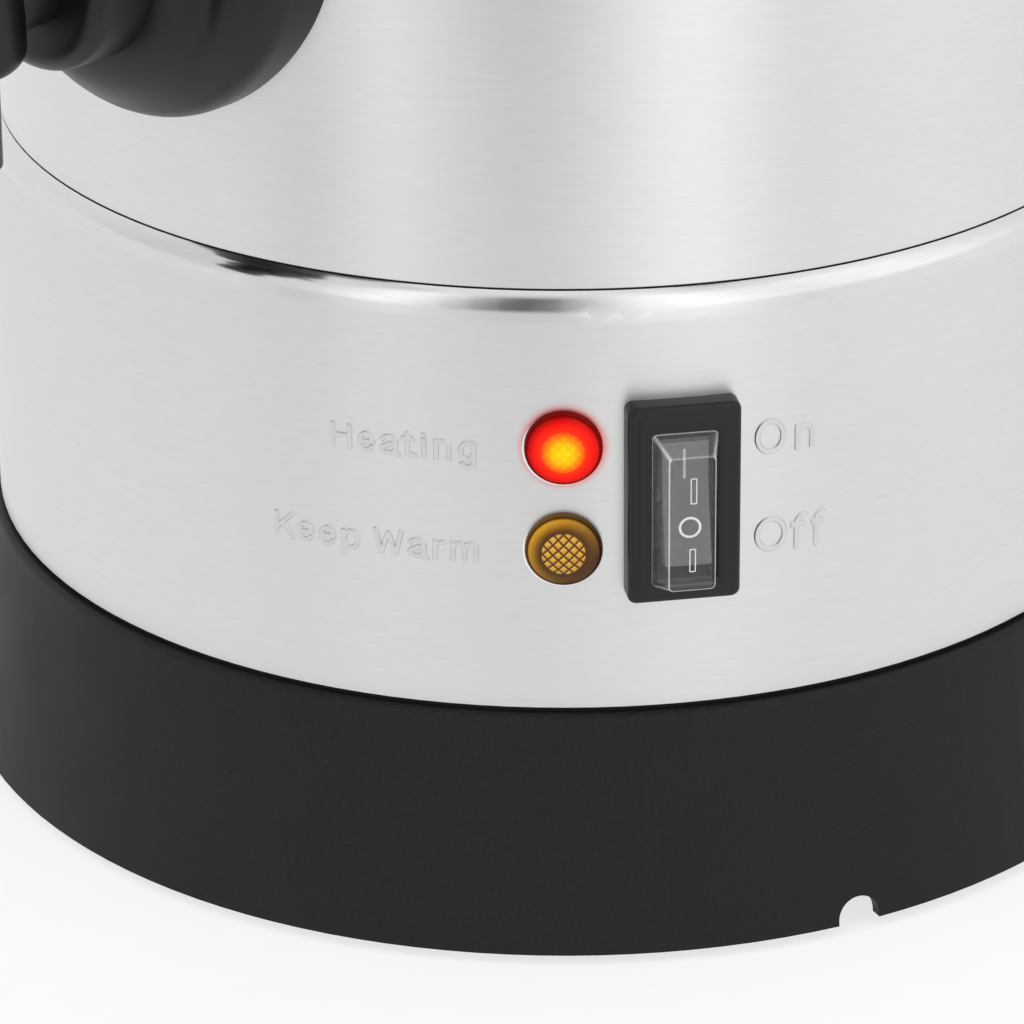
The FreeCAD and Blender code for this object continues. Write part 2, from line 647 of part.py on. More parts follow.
def make_band():
    rise = "sqrt(pow(shoulder_radius; 2) - pow(shoulder_radius - shoulder_step; 2))"
    inner = "(shoulder_radius - band_wall)"
    centre = "band_radius - shoulder_radius"
    meet = "%s + sqrt(pow(%s; 2) - pow(%s - band_wall; 2))" % (centre, inner, rise)
    body = turned("band_shell", [
        ("band_radius - band_wall", BAND_Z),
        ("band_radius", BAND_Z),
        ("band_radius", "%s - %s" % (SEAM_Z, rise)),
        (BODY, SEAM_Z, "shoulder_radius", -1),
        ("%s - ledge_width" % BODY, SEAM_Z),
        ("%s - ledge_width" % BODY, "%s - band_wall" % SEAM_Z),
        (meet, "%s - band_wall" % SEAM_Z),
        ("band_radius - band_wall", "%s - %s" % (SEAM_Z, rise), inner, 1),
    ])
    switch_hole = at_switch(group([switch_block("slip_gap", "band_radius - band_wall * 8",
                                                "band_radius + band_wall * 4")]))
    inlet_hole = block("inlet_width + slip_gap * 2", "inlet_height + slip_gap * 2",
                       "band_wall * 12", ("0", "0", "band_radius - band_wall * 8"))
    inlet_hole = at_inlet(group([inlet_hole] + inlet_screw_holes("slip_gap")))
    lamps = [wall_rod("lens_barrel + slip_gap / 2", "band_radius - band_wall * 4",
                      "band_wall * 8", "lamp_angle", "%s + %s" % (BAND_Z, rise))
             for rise in ("red_lamp_rise", "amber_lamp_rise")]
    node(cut(body, [switch_hole, inlet_hole] + lamps), "lower_housing")
    seal = turned("seam_ring", [
        ("%s - ledge_width" % BODY, SEAM_Z),
        ("%s - seal_inset" % BODY, SEAM_Z),
        ("%s - seal_inset" % BODY, FLOOR_Z),
        ("%s - ledge_width" % BODY, FLOOR_Z),
    ])
    node(seal, "seam_seal")


def make_vessel():
    pot = turned("vessel_shell", [
        ("0", "%s - well_depth" % FLOOR_Z),
        ("well_radius", "%s - well_depth" % FLOOR_Z),
        ("well_radius", FLOOR_Z),
        (BODY, FLOOR_Z),
        (BODY, "%s - rim_height" % RIM_Z),
        ("%s + rim_width" % BODY, "%s - rim_height" % RIM_Z),
        ("%s + rim_width" % BODY, RIM_Z),
        (INSIDE, RIM_Z),
        (INSIDE, "%s + vessel_wall" % FLOOR_Z),
        ("well_radius - vessel_wall", "%s + vessel_wall" % FLOOR_Z),
        ("well_radius - vessel_wall", "%s - well_depth + vessel_wall" % FLOOR_Z),
        ("0", "%s - well_depth + vessel_wall" % FLOOR_Z),
    ])
    soften(pot, [(BODY, FLOOR_Z)], "vessel_corner", "vessel_foot_edge")
    rim = "%s + rim_width" % BODY
    soften(pot, [(rim, "%s - rim_height" % RIM_Z), (rim, RIM_Z)], "rim_width * 0.45",
           "vessel_rim_edge")
    through = "vessel_wall * 8"
    back = "%s - vessel_wall * 4" % BODY
    holes = [wall_rod("shank_radius + slip_gap", back, through, "0", TAP_Z),
             wall_rod("wall_screw_radius + slip_gap", back, through, "0",
                      "%s + cap_height / 2" % GAUGE_TOP_Z)]
    for angle in HANDLE_SCREW_ANGLES:
        holes.append(wall_rod("wall_screw_radius + slip_gap", back, through, angle,
                              HANDLE_Z))
    node(cut(pot, holes), "vessel")


# Heating parts under the vessel

def terminals(spots, top):
    """Push-on terminals that hang down from a height at the given (x, y) spots."""
    return [block("terminal_width", "terminal_wall", "terminal_length",
                  (across, along, "%s - terminal_length" % top)) for across, along in spots]


def make_heaters():
    under = "%s - heat_plate_wall" % FLOOR_Z
    disc = rod("heat_plate_radius", "heat_plate_wall", ("0", "0", under))
    hole = rod("well_radius + slip_gap", "heat_plate_wall * 3",
               ("0", "0", "%s - heat_plate_wall" % under))
    node(cut(disc, hole), "heat_plate")
    ring = primitive("Torus", {"Radius1": "element_radius", "Radius2": "element_tube"},
                     ("0", "0", "%s - element_tube" % under), "rotationz(110)")
    ring.Angle3 = 320
    ends = []
    for turn in ("115", "65"):
        ends.append(rod("element_tube * 0.7", "element_tube * 4",
                        ("element_radius * cos(%s)" % turn, "element_radius * sin(%s)" % turn,
                         "%s - element_tube * 5" % under)))
    node(join([ring] + ends), "keep_warm_element")
    low = "(%s - well_depth)" % FLOOR_Z
    heater = rod("well_radius", "pump_heater_height", ("0", "0", "%s - pump_heater_height" % low))
    tabs = terminals([("well_radius / 2", "0"), ("-well_radius / 2", "0")],
                     "(%s - pump_heater_height + terminal_wall)" % low)
    node(join([heater] + tabs), "pump_heater")
    between = "((well_radius + element_radius) / 2)"
    can = rod("thermostat_radius", "thermostat_height",
              ("0 - %s" % between, "0", "%s - thermostat_height" % under))
    tabs = terminals([("0 - %s" % between, "thermostat_radius / 2"),
                      ("0 - %s" % between, "-thermostat_radius / 2")],
                     "(%s - thermostat_height + terminal_wall)" % under)
    node(join([can] + tabs), "thermostat")
    fuse = rod("fuse_radius", "fuse_length",
               (between, "fuse_length / 2", "%s - fuse_radius" % under), "rotationx(90)")
    clip = block("fuse_radius * 3", "fuse_length / 3", "fuse_radius * 3",
                 (between, "0", "%s - fuse_radius * 3" % under))
    node(join([fuse, clip]), "thermal_fuse")


def make_block():
    base = block("block_length", "block_width", "block_height", ("0", "-rod_pitch / 2", SHELF_Z))
    holes = []
    for step in range(4):
        across = "block_length * %s" % (step / 4 - 0.375)
        holes.append(rod("wire_radius + slip_gap", "block_width * 2",
                         (across, "-rod_pitch / 2 + block_width",
                          "%s + block_height / 2" % SHELF_Z), "rotationx(90)"))
        holes.append(rod("wire_radius * 1.5", "block_height",
                         (across, "-rod_pitch / 2", "%s + block_height * 0.7" % SHELF_Z)))
    node(cut(base, holes), "terminal_block")


def bent_wire(points):
    """A wire along straight runs joined by round bends."""
    radius = size("wire_bend")
    edges = []
    start = points[0]
    for before, corner, after in zip(points, points[1:], points[2:]):
        into = (corner - before).normalize()
        out = (after - corner).normalize()
        turn = into.getAngle(out)
        trim = radius * math.tan(turn / 2)
        first = corner - into * trim
        last = corner + out * trim
        middle_way = (out - into).normalize()
        middle = corner + middle_way * (radius / math.cos(turn / 2) - radius)
        edges.append(Part.LineSegment(start, first).toShape())
        edges.append(Part.Arc(first, middle, last).toShape())
        start = last
    edges.append(Part.LineSegment(start, points[-1]).toShape())
    path = Part.Wire(edges)
    circle = Part.Circle(points[0], points[1] - points[0], size("wire_radius")).toShape()
    return path.makePipeShell([Part.Wire([circle])], True, False)


def make_wiring():
    """Wires from the terminal block to the inlet, the switch and the heaters."""
    y_back = size("-rod_pitch / 2 + block_width / 2")
    y_front = size("-rod_pitch / 2 - block_width / 2")
    level = size("%s + block_height / 2" % SHELF_Z)
    step = size("block_length / 4")
    lead = size("wire_lead")
    inlet_y = size("band_radius - inlet_depth - pin_short")
    inlet_z = size("%s + inlet_rise" % BAND_Z)
    spacing = size("pin_spacing")
    offset = size("pin_offset")
    runs = []
    for across, up in ((-spacing, -offset), (spacing, -offset)):
        x = step * 1.5 if across > 0 else -step * 1.5
        runs.append([(x, y_back, level), (x, lead, level), (x, lead, inlet_z - lead),
                     (across, lead * 2, inlet_z + up), (across, inlet_y, inlet_z + up)])
    for across, side in ((-step / 2, -1), (step / 2, 1)):
        well = size("well_radius / 2") * side
        low = size("%s - well_depth - pump_heater_height - terminal_length" % FLOOR_Z)
        runs.append([(across, y_back, level), (across, y_back + lead, level),
                     (well, 0, level + lead * 2), (well, 0, low)])
    solids = [bent_wire([FreeCAD.Vector(*p) for p in run]) for run in runs]
    angle = math.radians(size("switch_angle"))
    reach = size("band_radius - switch_depth - terminal_length")
    height = size("%s + switch_rise" % BAND_Z)
    end = FreeCAD.Vector(reach * math.sin(angle), -reach * math.cos(angle), height)
    inward = FreeCAD.Vector(-math.sin(angle), math.cos(angle), 0)
    near = end + inward * lead
    away = FreeCAD.Vector(step * 1.5, y_front, level)
    forward = FreeCAD.Vector(0, -lead, 0)
    below = near - FreeCAD.Vector(0, 0, lead * 1.4)
    solids.append(bent_wire([away, away + forward, below, near, end]))
    wires = doc.addObject("Part::Feature", "wires")
    wires.Shape = Part.makeCompound(solids)
    node(wires, "wiring")


# Lamps

def make_lamps():
    names = (("red_lamp_lens", "red_lamp_rise"), ("amber_lamp_lens", "amber_lamp_rise"))
    back = "band_radius - lens_depth"
    seat = "band_radius + seat_gap"
    side = "%s + lens_rim" % seat
    ball = "((pow(lens_radius; 2) + pow(lens_dome; 2)) / (2 * lens_dome))"
    holders = []
    for label, rise in names:
        lens = turned(label + "_shape", [
            ("0", back),
            ("lens_barrel", back),
            ("lens_barrel", seat),
            ("lens_radius", seat),
            ("lens_radius", side),
            ("0", "%s + lens_dome" % side, ball, -1),
        ])
        node(place(lens, *facing("lamp_angle", "%s + %s" % (BAND_Z, rise))), label)
        start = "band_radius - band_wall * 2 - holder_depth"
        can = wall_rod("lens_barrel + slip_gap + holder_wall", start, "holder_depth",
                       "lamp_angle", "%s + %s" % (BAND_Z, rise))
        bore = wall_rod("lens_barrel + slip_gap", "%s - slip_gap" % back, "lens_depth * 2",
                        "lamp_angle", "%s + %s" % (BAND_Z, rise))
        holders.append(cut(can, bore))
    node(group(holders), "lamp_holders")


# Switch

OPEN_WIDTH = "(bezel_width - bezel_frame * 2)"
OPEN_HEIGHT = "(bezel_height - bezel_frame * 2)"
COVER_WIDTH = "(bezel_width - bezel_frame * 2 - cover_gap * 2 - cover_flange * 2)"
COVER_HEIGHT = "(bezel_height - bezel_frame * 2 - cover_gap * 2 - cover_flange * 2)"
ROCKER_WIDTH = "(%s - cover_wall * 2 - rocker_gap * 2)" % COVER_WIDTH
ROCKER_HEIGHT = "(%s - cover_wall * 2 - rocker_end_gap * 2)" % COVER_HEIGHT
LEDGE = "(band_radius + bezel_depth - cover_flange)"


def make_switch():
    plain = block("bezel_width", "bezel_height", "bezel_depth * 2",
                  ("0", "0", "band_radius - bezel_depth"))
    front = size("band_radius + bezel_depth")
    low = size("-bezel_height / 2")

    def corner(edge):
        box = edge.BoundBox
        return box.ZLength > 1 and box.XLength < 1e-5 and abs(box.YMin - low) < 1e-4

    bezel = round_off(plain, "bezel_corner", corner)

    def brim(edge):
        box = edge.BoundBox
        return abs(box.ZMin - front) < 1e-4 and abs(box.ZMax - front) < 1e-4

    bezel = round_off(bezel, "bezel_corner / 3", brim)
    bezel = cut(at_switch(group([bezel])), wall_drum("band_radius + seat_gap"))
    housing = at_switch(group([switch_block("0", "band_radius - switch_depth",
                                            "band_radius + bezel_depth / 2")]))
    flange_room = block(OPEN_WIDTH, OPEN_HEIGHT, "bezel_depth", ("0", "0", LEDGE))
    rocker_room = block("%s - cover_wall * 2" % COVER_WIDTH, "%s - cover_wall * 2" % COVER_HEIGHT,
                        "bezel_depth * 4", ("0", "0", "band_radius - bezel_depth * 2.5"))
    axle_room = rod("axle_radius + fit_gap", "%s + (axle_depth + slip_gap) * 2" % ROCKER_WIDTH,
                    ("-%s / 2 - axle_depth - slip_gap" % ROCKER_WIDTH, "0",
                     "band_radius"), "rotationy(90)")
    room = at_switch(group([flange_room, rocker_room, axle_room]))
    node(cut(join([bezel, housing]), room), "switch_housing")

    half = "%s / 2" % ROCKER_HEIGHT
    top = "rocker_face + rocker_dish"
    side = plate("rocker_shape", [
        ("-%s" % half, "%s - rocker_edge" % top),
        ("-axle_radius * 2", "-axle_radius * 2"),
        ("axle_radius * 2", "-axle_radius * 2"),
        (half, "%s - rocker_edge" % top),
        (half, top),
        ("0", "rocker_face"),
        ("-%s" % half, top),
    ], ROCKER_WIDTH)
    axle = rod("axle_radius", "%s + axle_depth * 2" % ROCKER_WIDTH,
               ("-%s / 2 - axle_depth" % ROCKER_WIDTH, "0", "0"), "rotationy(90)")
    tilted = place(join([side, axle]), ("0", "0", "band_radius"), "rotationx(-rocker_tilt)")
    node(at_switch(group([tilted])), "switch_rocker")

    flange = block("%s - cover_gap * 2" % OPEN_WIDTH, "%s - cover_gap * 2" % OPEN_HEIGHT,
                   "cover_flange", ("0", "0", LEDGE))
    hood = block(COVER_WIDTH, COVER_HEIGHT, "cover_rise + cover_flange", ("0", "0", LEDGE))
    peak = size("%s + cover_rise + cover_flange" % LEDGE)

    def hood_edge(edge):
        box = edge.BoundBox
        upright = box.ZLength > 1 and box.XLength < 1e-5 and box.YLength < 1e-5
        return upright or (abs(box.ZMin - peak) < 1e-4 and abs(box.ZMax - peak) < 1e-4)

    hood = round_off(hood, "cover_wall * 0.9", hood_edge)
    room = block("%s - cover_wall * 2" % COVER_WIDTH, "%s - cover_wall * 2" % COVER_HEIGHT,
                 "cover_rise + cover_flange * 2 - cover_wall",
                 ("0", "0", "%s - cover_flange" % LEDGE))
    node(at_switch(cut(join([flange, hood]), room)), "switch_cover")

    back = "band_radius - switch_depth - terminal_length"
    tabs = [block("terminal_wall", "terminal_width", "terminal_length",
                  ("0", "bezel_height * %s" % spot, back)) for spot in (-0.3, 0.3)]
    node(at_switch(group(tabs)), "switch_terminals")


# Appliance inlet at the rear

def make_inlet():
    flange = block("inlet_width + inlet_ear * 2", "inlet_height + inlet_brim * 2",
                   "inlet_proud * 3", ("0", "0", "band_radius - inlet_proud * 2"))
    flange = cut(at_inlet(group([flange])), wall_drum("band_radius + seat_gap"))
    shell = at_inlet(group([block("inlet_width", "inlet_height", "inlet_depth + inlet_proud / 2",
                                  ("0", "0", "band_radius - inlet_depth"))]))
    room = block("inlet_width - inlet_wall * 2", "inlet_height - inlet_wall * 2",
                 "inlet_depth * 2", ("0", "0", "band_radius - inlet_depth + inlet_wall * 2"))
    tools = at_inlet(group([room] + inlet_screw_holes("fit_gap")
                           + inlet_pins("fit_gap")))
    node(cut(join([flange, shell]), tools), "inlet_body")
    node(at_inlet(group(inlet_pins("0"))), "inlet_pins")
    screws = []
    for side in ("", "-"):
        across = side + "(inlet_width / 2 + inlet_ear / 2)"
        face = "band_radius + inlet_proud"
        head = rod("inlet_screw_head", "inlet_screw", (across, "0", face))
        shank = rod("inlet_screw", "inlet_proud * 4", (across, "0", "%s - inlet_proud * 3" % face))
        screws.append(join([head, shank]))
    node(at_inlet(group(screws)), "inlet_screws")


def inlet_pins(play):
    """The three blades of the inlet, a little larger for the slots that hold them."""
    back = "(band_radius - inlet_depth - pin_short)"
    spots = (("0", "pin_offset"), ("pin_spacing", "-pin_offset"), ("-pin_spacing", "-pin_offset"))
    return [block("pin_width + %s * 2" % play, "pin_height + %s * 2" % play,
                  "inlet_depth", (across, up, back))
            for across, up in spots]


# Tap

def out_rod(radius, start, end, height=TAP_Z):
    """A cylinder on the tap's axis between two distances from the urn's axis."""
    return wall_rod(radius, "(%s)" % start, "(%s) - (%s)" % (end, start), "0", height)


def tall_rod(radius, reach, low, high):
    """A vertical cylinder in front of the vessel between two heights."""
    return rod(radius, "(%s) - (%s)" % (high, low), ("0", "-%s" % reach, low))


def make_rosette():
    back = "%s - rosette_depth * 2" % BODY
    front = "%s + rosette_depth" % BODY
    disc = rod("rosette_radius", "rosette_depth * 3", ("0", "0", back))
    disc = round_off(disc, "rosette_edge", flat_at(size(front)))
    disc = place(group([disc]), *facing("0", "%s + rosette_rise" % TAP_Z))
    dome = rod("dome_radius", "dome_depth + rosette_depth * 2", ("0", "0", back))
    dome = round_off(dome, "dome_edge", flat_at(size("%s + dome_depth" % BODY)))
    dome = place(group([dome]), *facing("0", TAP_Z))
    whole = join([disc, dome])
    far = "%s + dome_depth * 2" % BODY
    barrel = out_rod("barrel_radius + slip_gap", "%s + tap_seal_wall" % BODY, far)
    neck = out_rod("tap_seal_radius + slip_gap", "%s - rosette_depth * 3" % BODY, far)
    gauge = tall_rod("gauge_boss + slip_gap", GAUGE_Y, TAP_Z, "%s + rosette_radius" % GAUGE_LOW_Z)
    node(cut(whole, [wall_drum("%s + seat_gap" % BODY), barrel, neck, gauge]), "tap_rosette")


def make_tap_body():
    start = "%s - shank_reach" % INSIDE
    flange = "%s + tap_seal_wall" % BODY
    front = "%s + barrel_depth" % BODY
    barrel = rod("barrel_radius", "barrel_depth - tap_seal_wall - slip_gap",
                 ("0", "0", "%s + slip_gap" % flange))
    barrel = round_off(barrel, "barrel_edge", flat_at(size(front)))
    barrel = place(group([barrel]), *facing("0", TAP_Z))
    chamber = tall_rod("chamber_radius", SPOUT_Y, "%s - chamber_drop" % TAP_Z, CAP_Z)
    chamber = round_off(chamber, "chamber_radius * 0.25",
                        flat_at(size("%s - chamber_drop" % TAP_Z)))
    pieces = [
        out_rod("shank_radius", start, front),
        out_rod("tap_seal_radius", flange, "%s + barrel_depth / 2" % BODY),
        barrel,
        out_rod("arm_radius", "%s - barrel_edge" % front, SPOUT_Y),
        chamber,
        tall_rod("spout_radius", SPOUT_Y, "%s - spout_drop" % TAP_Z, "%s - seat_drop" % TAP_Z),
        tall_rod("gauge_boss", GAUGE_Y, TAP_Z, GAUGE_LOW_Z),
    ]
    tools = [
        out_rod("tap_bore", "%s - tap_bore" % start, SPOUT_Y),
        tall_rod("chamber_bore", SPOUT_Y, "%s - seat_drop" % TAP_Z, "%s + chamber_top" % CAP_Z),
        tall_rod("spout_bore", SPOUT_Y, "%s - spout_drop * 2" % TAP_Z,
                 "%s - seat_drop - seat_wall" % TAP_Z),
        tall_rod("seat_bore", SPOUT_Y, "%s - spout_drop" % TAP_Z, TAP_Z),
        tall_rod("gauge_port", GAUGE_Y, TAP_Z, GAUGE_LOW_Z),
        tall_rod("gauge_radius + slip_gap", GAUGE_Y, "%s - gauge_socket" % GAUGE_LOW_Z,
                 "%s + gauge_socket" % GAUGE_LOW_Z),
    ]
    node(cut(join(pieces), tools), "tap_body")


def make_tap_seals():
    inner = cut(out_rod("tap_seal_radius", "%s - tap_seal_wall" % INSIDE, BODY),
                [out_rod("shank_radius + fit_gap", "%s / 2" % BODY, "%s * 2" % BODY)])
    shell = wall_drum("%s - seat_gap" % INSIDE)
    common = doc.addObject("Part::Common", "inner_seal")
    common.Base = inner
    common.Tool = shell
    outer = cut(out_rod("tap_seal_radius", INSIDE, "%s + tap_seal_wall" % BODY),
                [out_rod("shank_radius + fit_gap", "%s / 2" % BODY, "%s * 2" % BODY),
                 wall_drum("%s + seat_gap" % BODY)])
    node(group([common, outer]), "tap_seals")
    far = "%s - tap_seal_wall" % INSIDE
    blank = hexagon("tap_nut_width", "tap_nut_height",
                    ("0", "-(%s - tap_nut_height)" % far, TAP_Z), "rotationx(90)")
    node(cut(blank, out_rod("shank_radius + fit_gap", "%s / 2" % BODY, BODY)), "tap_nut")


def make_valve():
    seat = "%s - seat_drop" % TAP_Z
    disc_low = "(%s + valve_seal_height)" % seat
    disc_top = "(%s + disc_height)" % disc_low
    head = "%s + cross_pin_radius * 3" % PIN_Z
    disc = tall_rod("disc_radius", SPOUT_Y, disc_low, disc_top)
    stem = tall_rod("stem_radius", SPOUT_Y, disc_low, head)
    half = "(lever_width / 2 - ear_gap)"
    pin = rod("cross_pin_radius", "%s * 2" % half, ("-%s" % half, "-%s" % SPOUT_Y, PIN_Z),
              "rotationy(90)")
    node(join([disc, stem, pin]), "valve_stem")
    node(tall_rod("disc_radius", SPOUT_Y, seat, disc_low), "valve_seal")
    spring_top = "(%s - bonnet_plug)" % CAP_Z
    spring_low = "(%s + valve_lift + slip_gap)" % disc_top
    outer = tall_rod("spring_radius", SPOUT_Y, spring_low, spring_top)
    inner = tall_rod("spring_radius - spring_wire", SPOUT_Y, "%s - spring_wire" % spring_low,
                     "%s + spring_wire" % spring_top)
    node(cut(outer, inner), "valve_spring")


def lever_y(forward):
    """Y of a point of the lever, counted forward from its pin."""
    return "-(%s + lever_offset) - (%s)" % (SPOUT_Y, forward)


def make_bonnet():
    cap = tall_rod("bonnet_radius", SPOUT_Y, CAP_Z, "%s + bonnet_height" % CAP_Z)
    cap = round_off(cap, "bonnet_height * 0.2", flat_at(size("%s + bonnet_height" % CAP_Z)))
    plug = tall_rod("chamber_bore - slip_gap", SPOUT_Y, "%s - bonnet_plug" % CAP_Z,
                    "%s + bonnet_height / 2" % CAP_Z)
    ears = []
    for side in ("1", "-1"):
        across = "%s * (lever_width / 2 + ear_gap + ear_wall / 2)" % side
        ears.append(block("ear_wall", "ear_length", "bonnet_height / 2 + pin_lift + lever_hub",
                          (across, lever_y("0"), "%s + bonnet_height / 2" % CAP_Z)))
    bore = tall_rod("stem_radius + fit_gap * 2", SPOUT_Y, TAP_Z, "%s * 2" % CAP_Z)
    hole = rod("lever_pin_radius + fit_gap", "bonnet_radius * 4",
               ("-bonnet_radius * 2", lever_y("0"), PIN_Z), "rotationy(90)")
    node(cut(join([cap, plug] + ears), [bore, hole]), "tap_bonnet")
    half = "(lever_width / 2 + ear_gap + ear_wall + slip_gap)"
    pin = rod("lever_pin_radius", "%s * 2" % half, ("-%s" % half, lever_y("0"), PIN_Z),
              "rotationy(90)")
    node(pin, "lever_pin")


def make_lever():
    rear = "(lever_offset + cross_pin_radius * 3)"
    slot = "(cross_pin_radius + cross_pin_play)"
    side = plate("lever_shape", [
        (lever_y("-%s" % rear), "%s - lever_hub" % PIN_Z),
        (lever_y("lever_hub / 2"), "%s - lever_hub" % PIN_Z),
        (lever_y("lever_offset"), "%s + lever_hub / 4" % PIN_Z),
        (lever_y("lever_length / 3"), "%s + lever_rise * 0.45" % PIN_Z),
        (lever_y("lever_length"), "%s + lever_rise" % PIN_Z),
        (lever_y("lever_length"), "%s + lever_rise + lever_wall" % PIN_Z),
        (lever_y("lever_length / 3"), "%s + lever_rise * 0.45 + lever_wall * 1.2" % PIN_Z),
        (lever_y("0"), "%s + lever_hub * 1.3" % PIN_Z),
        (lever_y("-%s" % rear), "%s + lever_hub" % PIN_Z),
        (lever_y("-%s" % rear), "%s + %s" % (PIN_Z, slot)),
        (lever_y("-lever_hub"), "%s + %s" % (PIN_Z, slot)),
        (lever_y("-lever_hub"), "%s - %s" % (PIN_Z, slot)),
        (lever_y("-%s" % rear), "%s - %s" % (PIN_Z, slot)),
    ], "lever_width")
    room = block("(stem_radius + ear_gap * 3) * 2", "%s + lever_offset - lever_hub" % rear,
                 "lever_hub * 6",
                 ("0", lever_y("-lever_hub * 0.8 - (%s + lever_offset - lever_hub) / 2" % rear),
                  "%s - lever_hub * 3" % PIN_Z))
    hole = rod("lever_pin_radius + fit_gap", "lever_width * 2",
               ("-lever_width", lever_y("0"), PIN_Z), "rotationy(90)")
    node(cut(side, [room, hole]), "tap_lever")


# Level gauge

def make_gauge():
    low = "(%s - gauge_socket + gauge_seal)" % GAUGE_LOW_Z
    top = "(%s + gauge_socket - gauge_seal)" % GAUGE_TOP_Z
    tube = tall_rod("gauge_radius", GAUGE_Y, low, top)
    bore = tall_rod("gauge_radius - gauge_wall", GAUGE_Y, "%s - gauge_wall" % low,
                    "%s + gauge_wall" % top)
    node(cut(tube, bore), "gauge_tube")
    seals = []
    for height in ("(%s - gauge_seal)" % low, top):
        ring = tall_rod("gauge_radius", GAUGE_Y, height, "%s + gauge_seal" % height)
        hole = tall_rod("gauge_port", GAUGE_Y, "%s - gauge_seal" % height,
                        "%s + gauge_seal * 2" % height)
        seals.append(cut(ring, hole))
    node(group(seals), "gauge_seals")
    outer = primitive("Cylinder", {"Radius": "gauge_radius + guard_gap + guard_wall",
                                   "Height": "%s - %s" % (GAUGE_TOP_Z, GAUGE_LOW_Z)},
                      ("0", "-%s" % GAUGE_Y, GAUGE_LOW_Z), "rotationz(-20)")
    outer.Angle = 220
    inner = tall_rod("gauge_radius + guard_gap", GAUGE_Y, "%s - guard_wall" % GAUGE_LOW_Z,
                     "%s + guard_wall" % GAUGE_TOP_Z)
    node(cut(outer, inner), "gauge_guard")
    boss = tall_rod("gauge_boss", GAUGE_Y, GAUGE_TOP_Z, "%s + cap_height" % GAUGE_TOP_Z)
    boss = round_off(boss, "cap_height * 0.15",
                     flat_at(size("%s + cap_height" % GAUGE_TOP_Z)))
    web = block("cap_width", "gauge_reach + rosette_depth", "cap_height * 0.85",
                ("0", "-%s + (gauge_reach + rosette_depth) / 2" % GAUGE_Y, GAUGE_TOP_Z))
    socket = tall_rod("gauge_radius + slip_gap", GAUGE_Y, "%s - gauge_socket" % GAUGE_TOP_Z,
                      "%s + gauge_socket" % GAUGE_TOP_Z)
    screw = out_rod("wall_screw_radius + fit_gap", "%s / 2" % BODY,
                    "%s + gauge_reach - gauge_radius - gauge_wall * 2" % BODY,
                    "%s + cap_height / 2" % GAUGE_TOP_Z)
    node(cut(join([boss, web]), [wall_drum("%s + seat_gap" % BODY), socket, screw]),
         "gauge_cap")
    node(wall_screw("0", "%s + cap_height / 2" % GAUGE_TOP_Z,
                    "gauge_reach - gauge_radius - gauge_wall * 3"), "gauge_screw")


def wall_screw(angle, height, length):
    """A screw from inside the vessel through its wall, with its head on a washer."""
    under = "(%s - wall_washer_height - seat_gap * 2)" % INSIDE
    head = wall_rod("wall_screw_head", "(%s - wall_screw_head_height)" % under,
                    "wall_screw_head_height", angle, height)
    shank = wall_rod("wall_screw_radius", "(%s - wall_screw_head_height / 2)" % under,
                     "%s - (%s - wall_screw_head_height / 2) + %s" % (BODY, under, length),
                     angle, height)
    return join([head, shank])


def wall_washer(angle, height):
    """A silicone washer between a screw head and the inside of the vessel."""
    start = "(%s - wall_washer_height - seat_gap)" % INSIDE
    disc = wall_rod("wall_washer_radius", start, "wall_washer_height * 2", angle, height)
    hole = wall_rod("wall_screw_radius + fit_gap", "%s / 2" % BODY, BODY, angle, height)
    common = doc.addObject("Part::Common", "washer")
    common.Base = cut(disc, hole)
    common.Tool = wall_drum("%s - seat_gap" % INSIDE)
    return common


# Side handles

def make_handles():
    height = HANDLE_Z
    back = "%s - handle_reach" % BODY
    front = size("%s + handle_reach" % BODY)
    for label, angle in (("handle_right", "90"), ("handle_left", "-90")):
        blank = block("handle_width", "handle_height", "handle_reach * 2", ("0", "0", back))

        def outer_corner(edge):
            box = edge.BoundBox
            return box.YLength > 1 and box.XLength < 1e-5 and abs(box.ZMin - front) < 1e-4

        blank = round_off(blank, "handle_corner", outer_corner)
        inner_front = size("%s + handle_reach - handle_bar" % BODY)

        def inner_corner(edge):
            box = edge.BoundBox
            return box.YLength > 1 and box.XLength < 1e-5 and abs(box.ZMin - inner_front) < 1e-4

        room = block("handle_width - handle_foot * 2", "handle_height * 3",
                     "handle_reach * 2 - handle_bar", ("0", "0", back))
        room = round_off(room, "handle_inner_corner", inner_corner)
        ring = cut(blank, room)
        placed = place(group([ring]), *facing(angle, height))
        holes = []
        for turn in ("handle_screw_angle", "-handle_screw_angle"):
            holes.append(wall_rod("wall_screw_radius + fit_gap", "%s / 2" % BODY,
                                  "%s / 2 + wall_screw_length + slip_gap" % BODY,
                                  "(%s + %s)" % (angle, turn), height))
        node(cut(placed, [wall_drum("%s + seat_gap" % BODY)] + holes), label)
    screws = [wall_screw("(%s)" % angle, height, "wall_screw_length")
              for angle in HANDLE_SCREW_ANGLES]
    node(group(screws), "handle_screws")
    washers = [wall_washer("(%s)" % angle, height) for angle in HANDLE_SCREW_ANGLES]
    washers.append(wall_washer("0", "%s + cap_height / 2" % GAUGE_TOP_Z))
    node(group(washers), "wall_washers")


# Lid

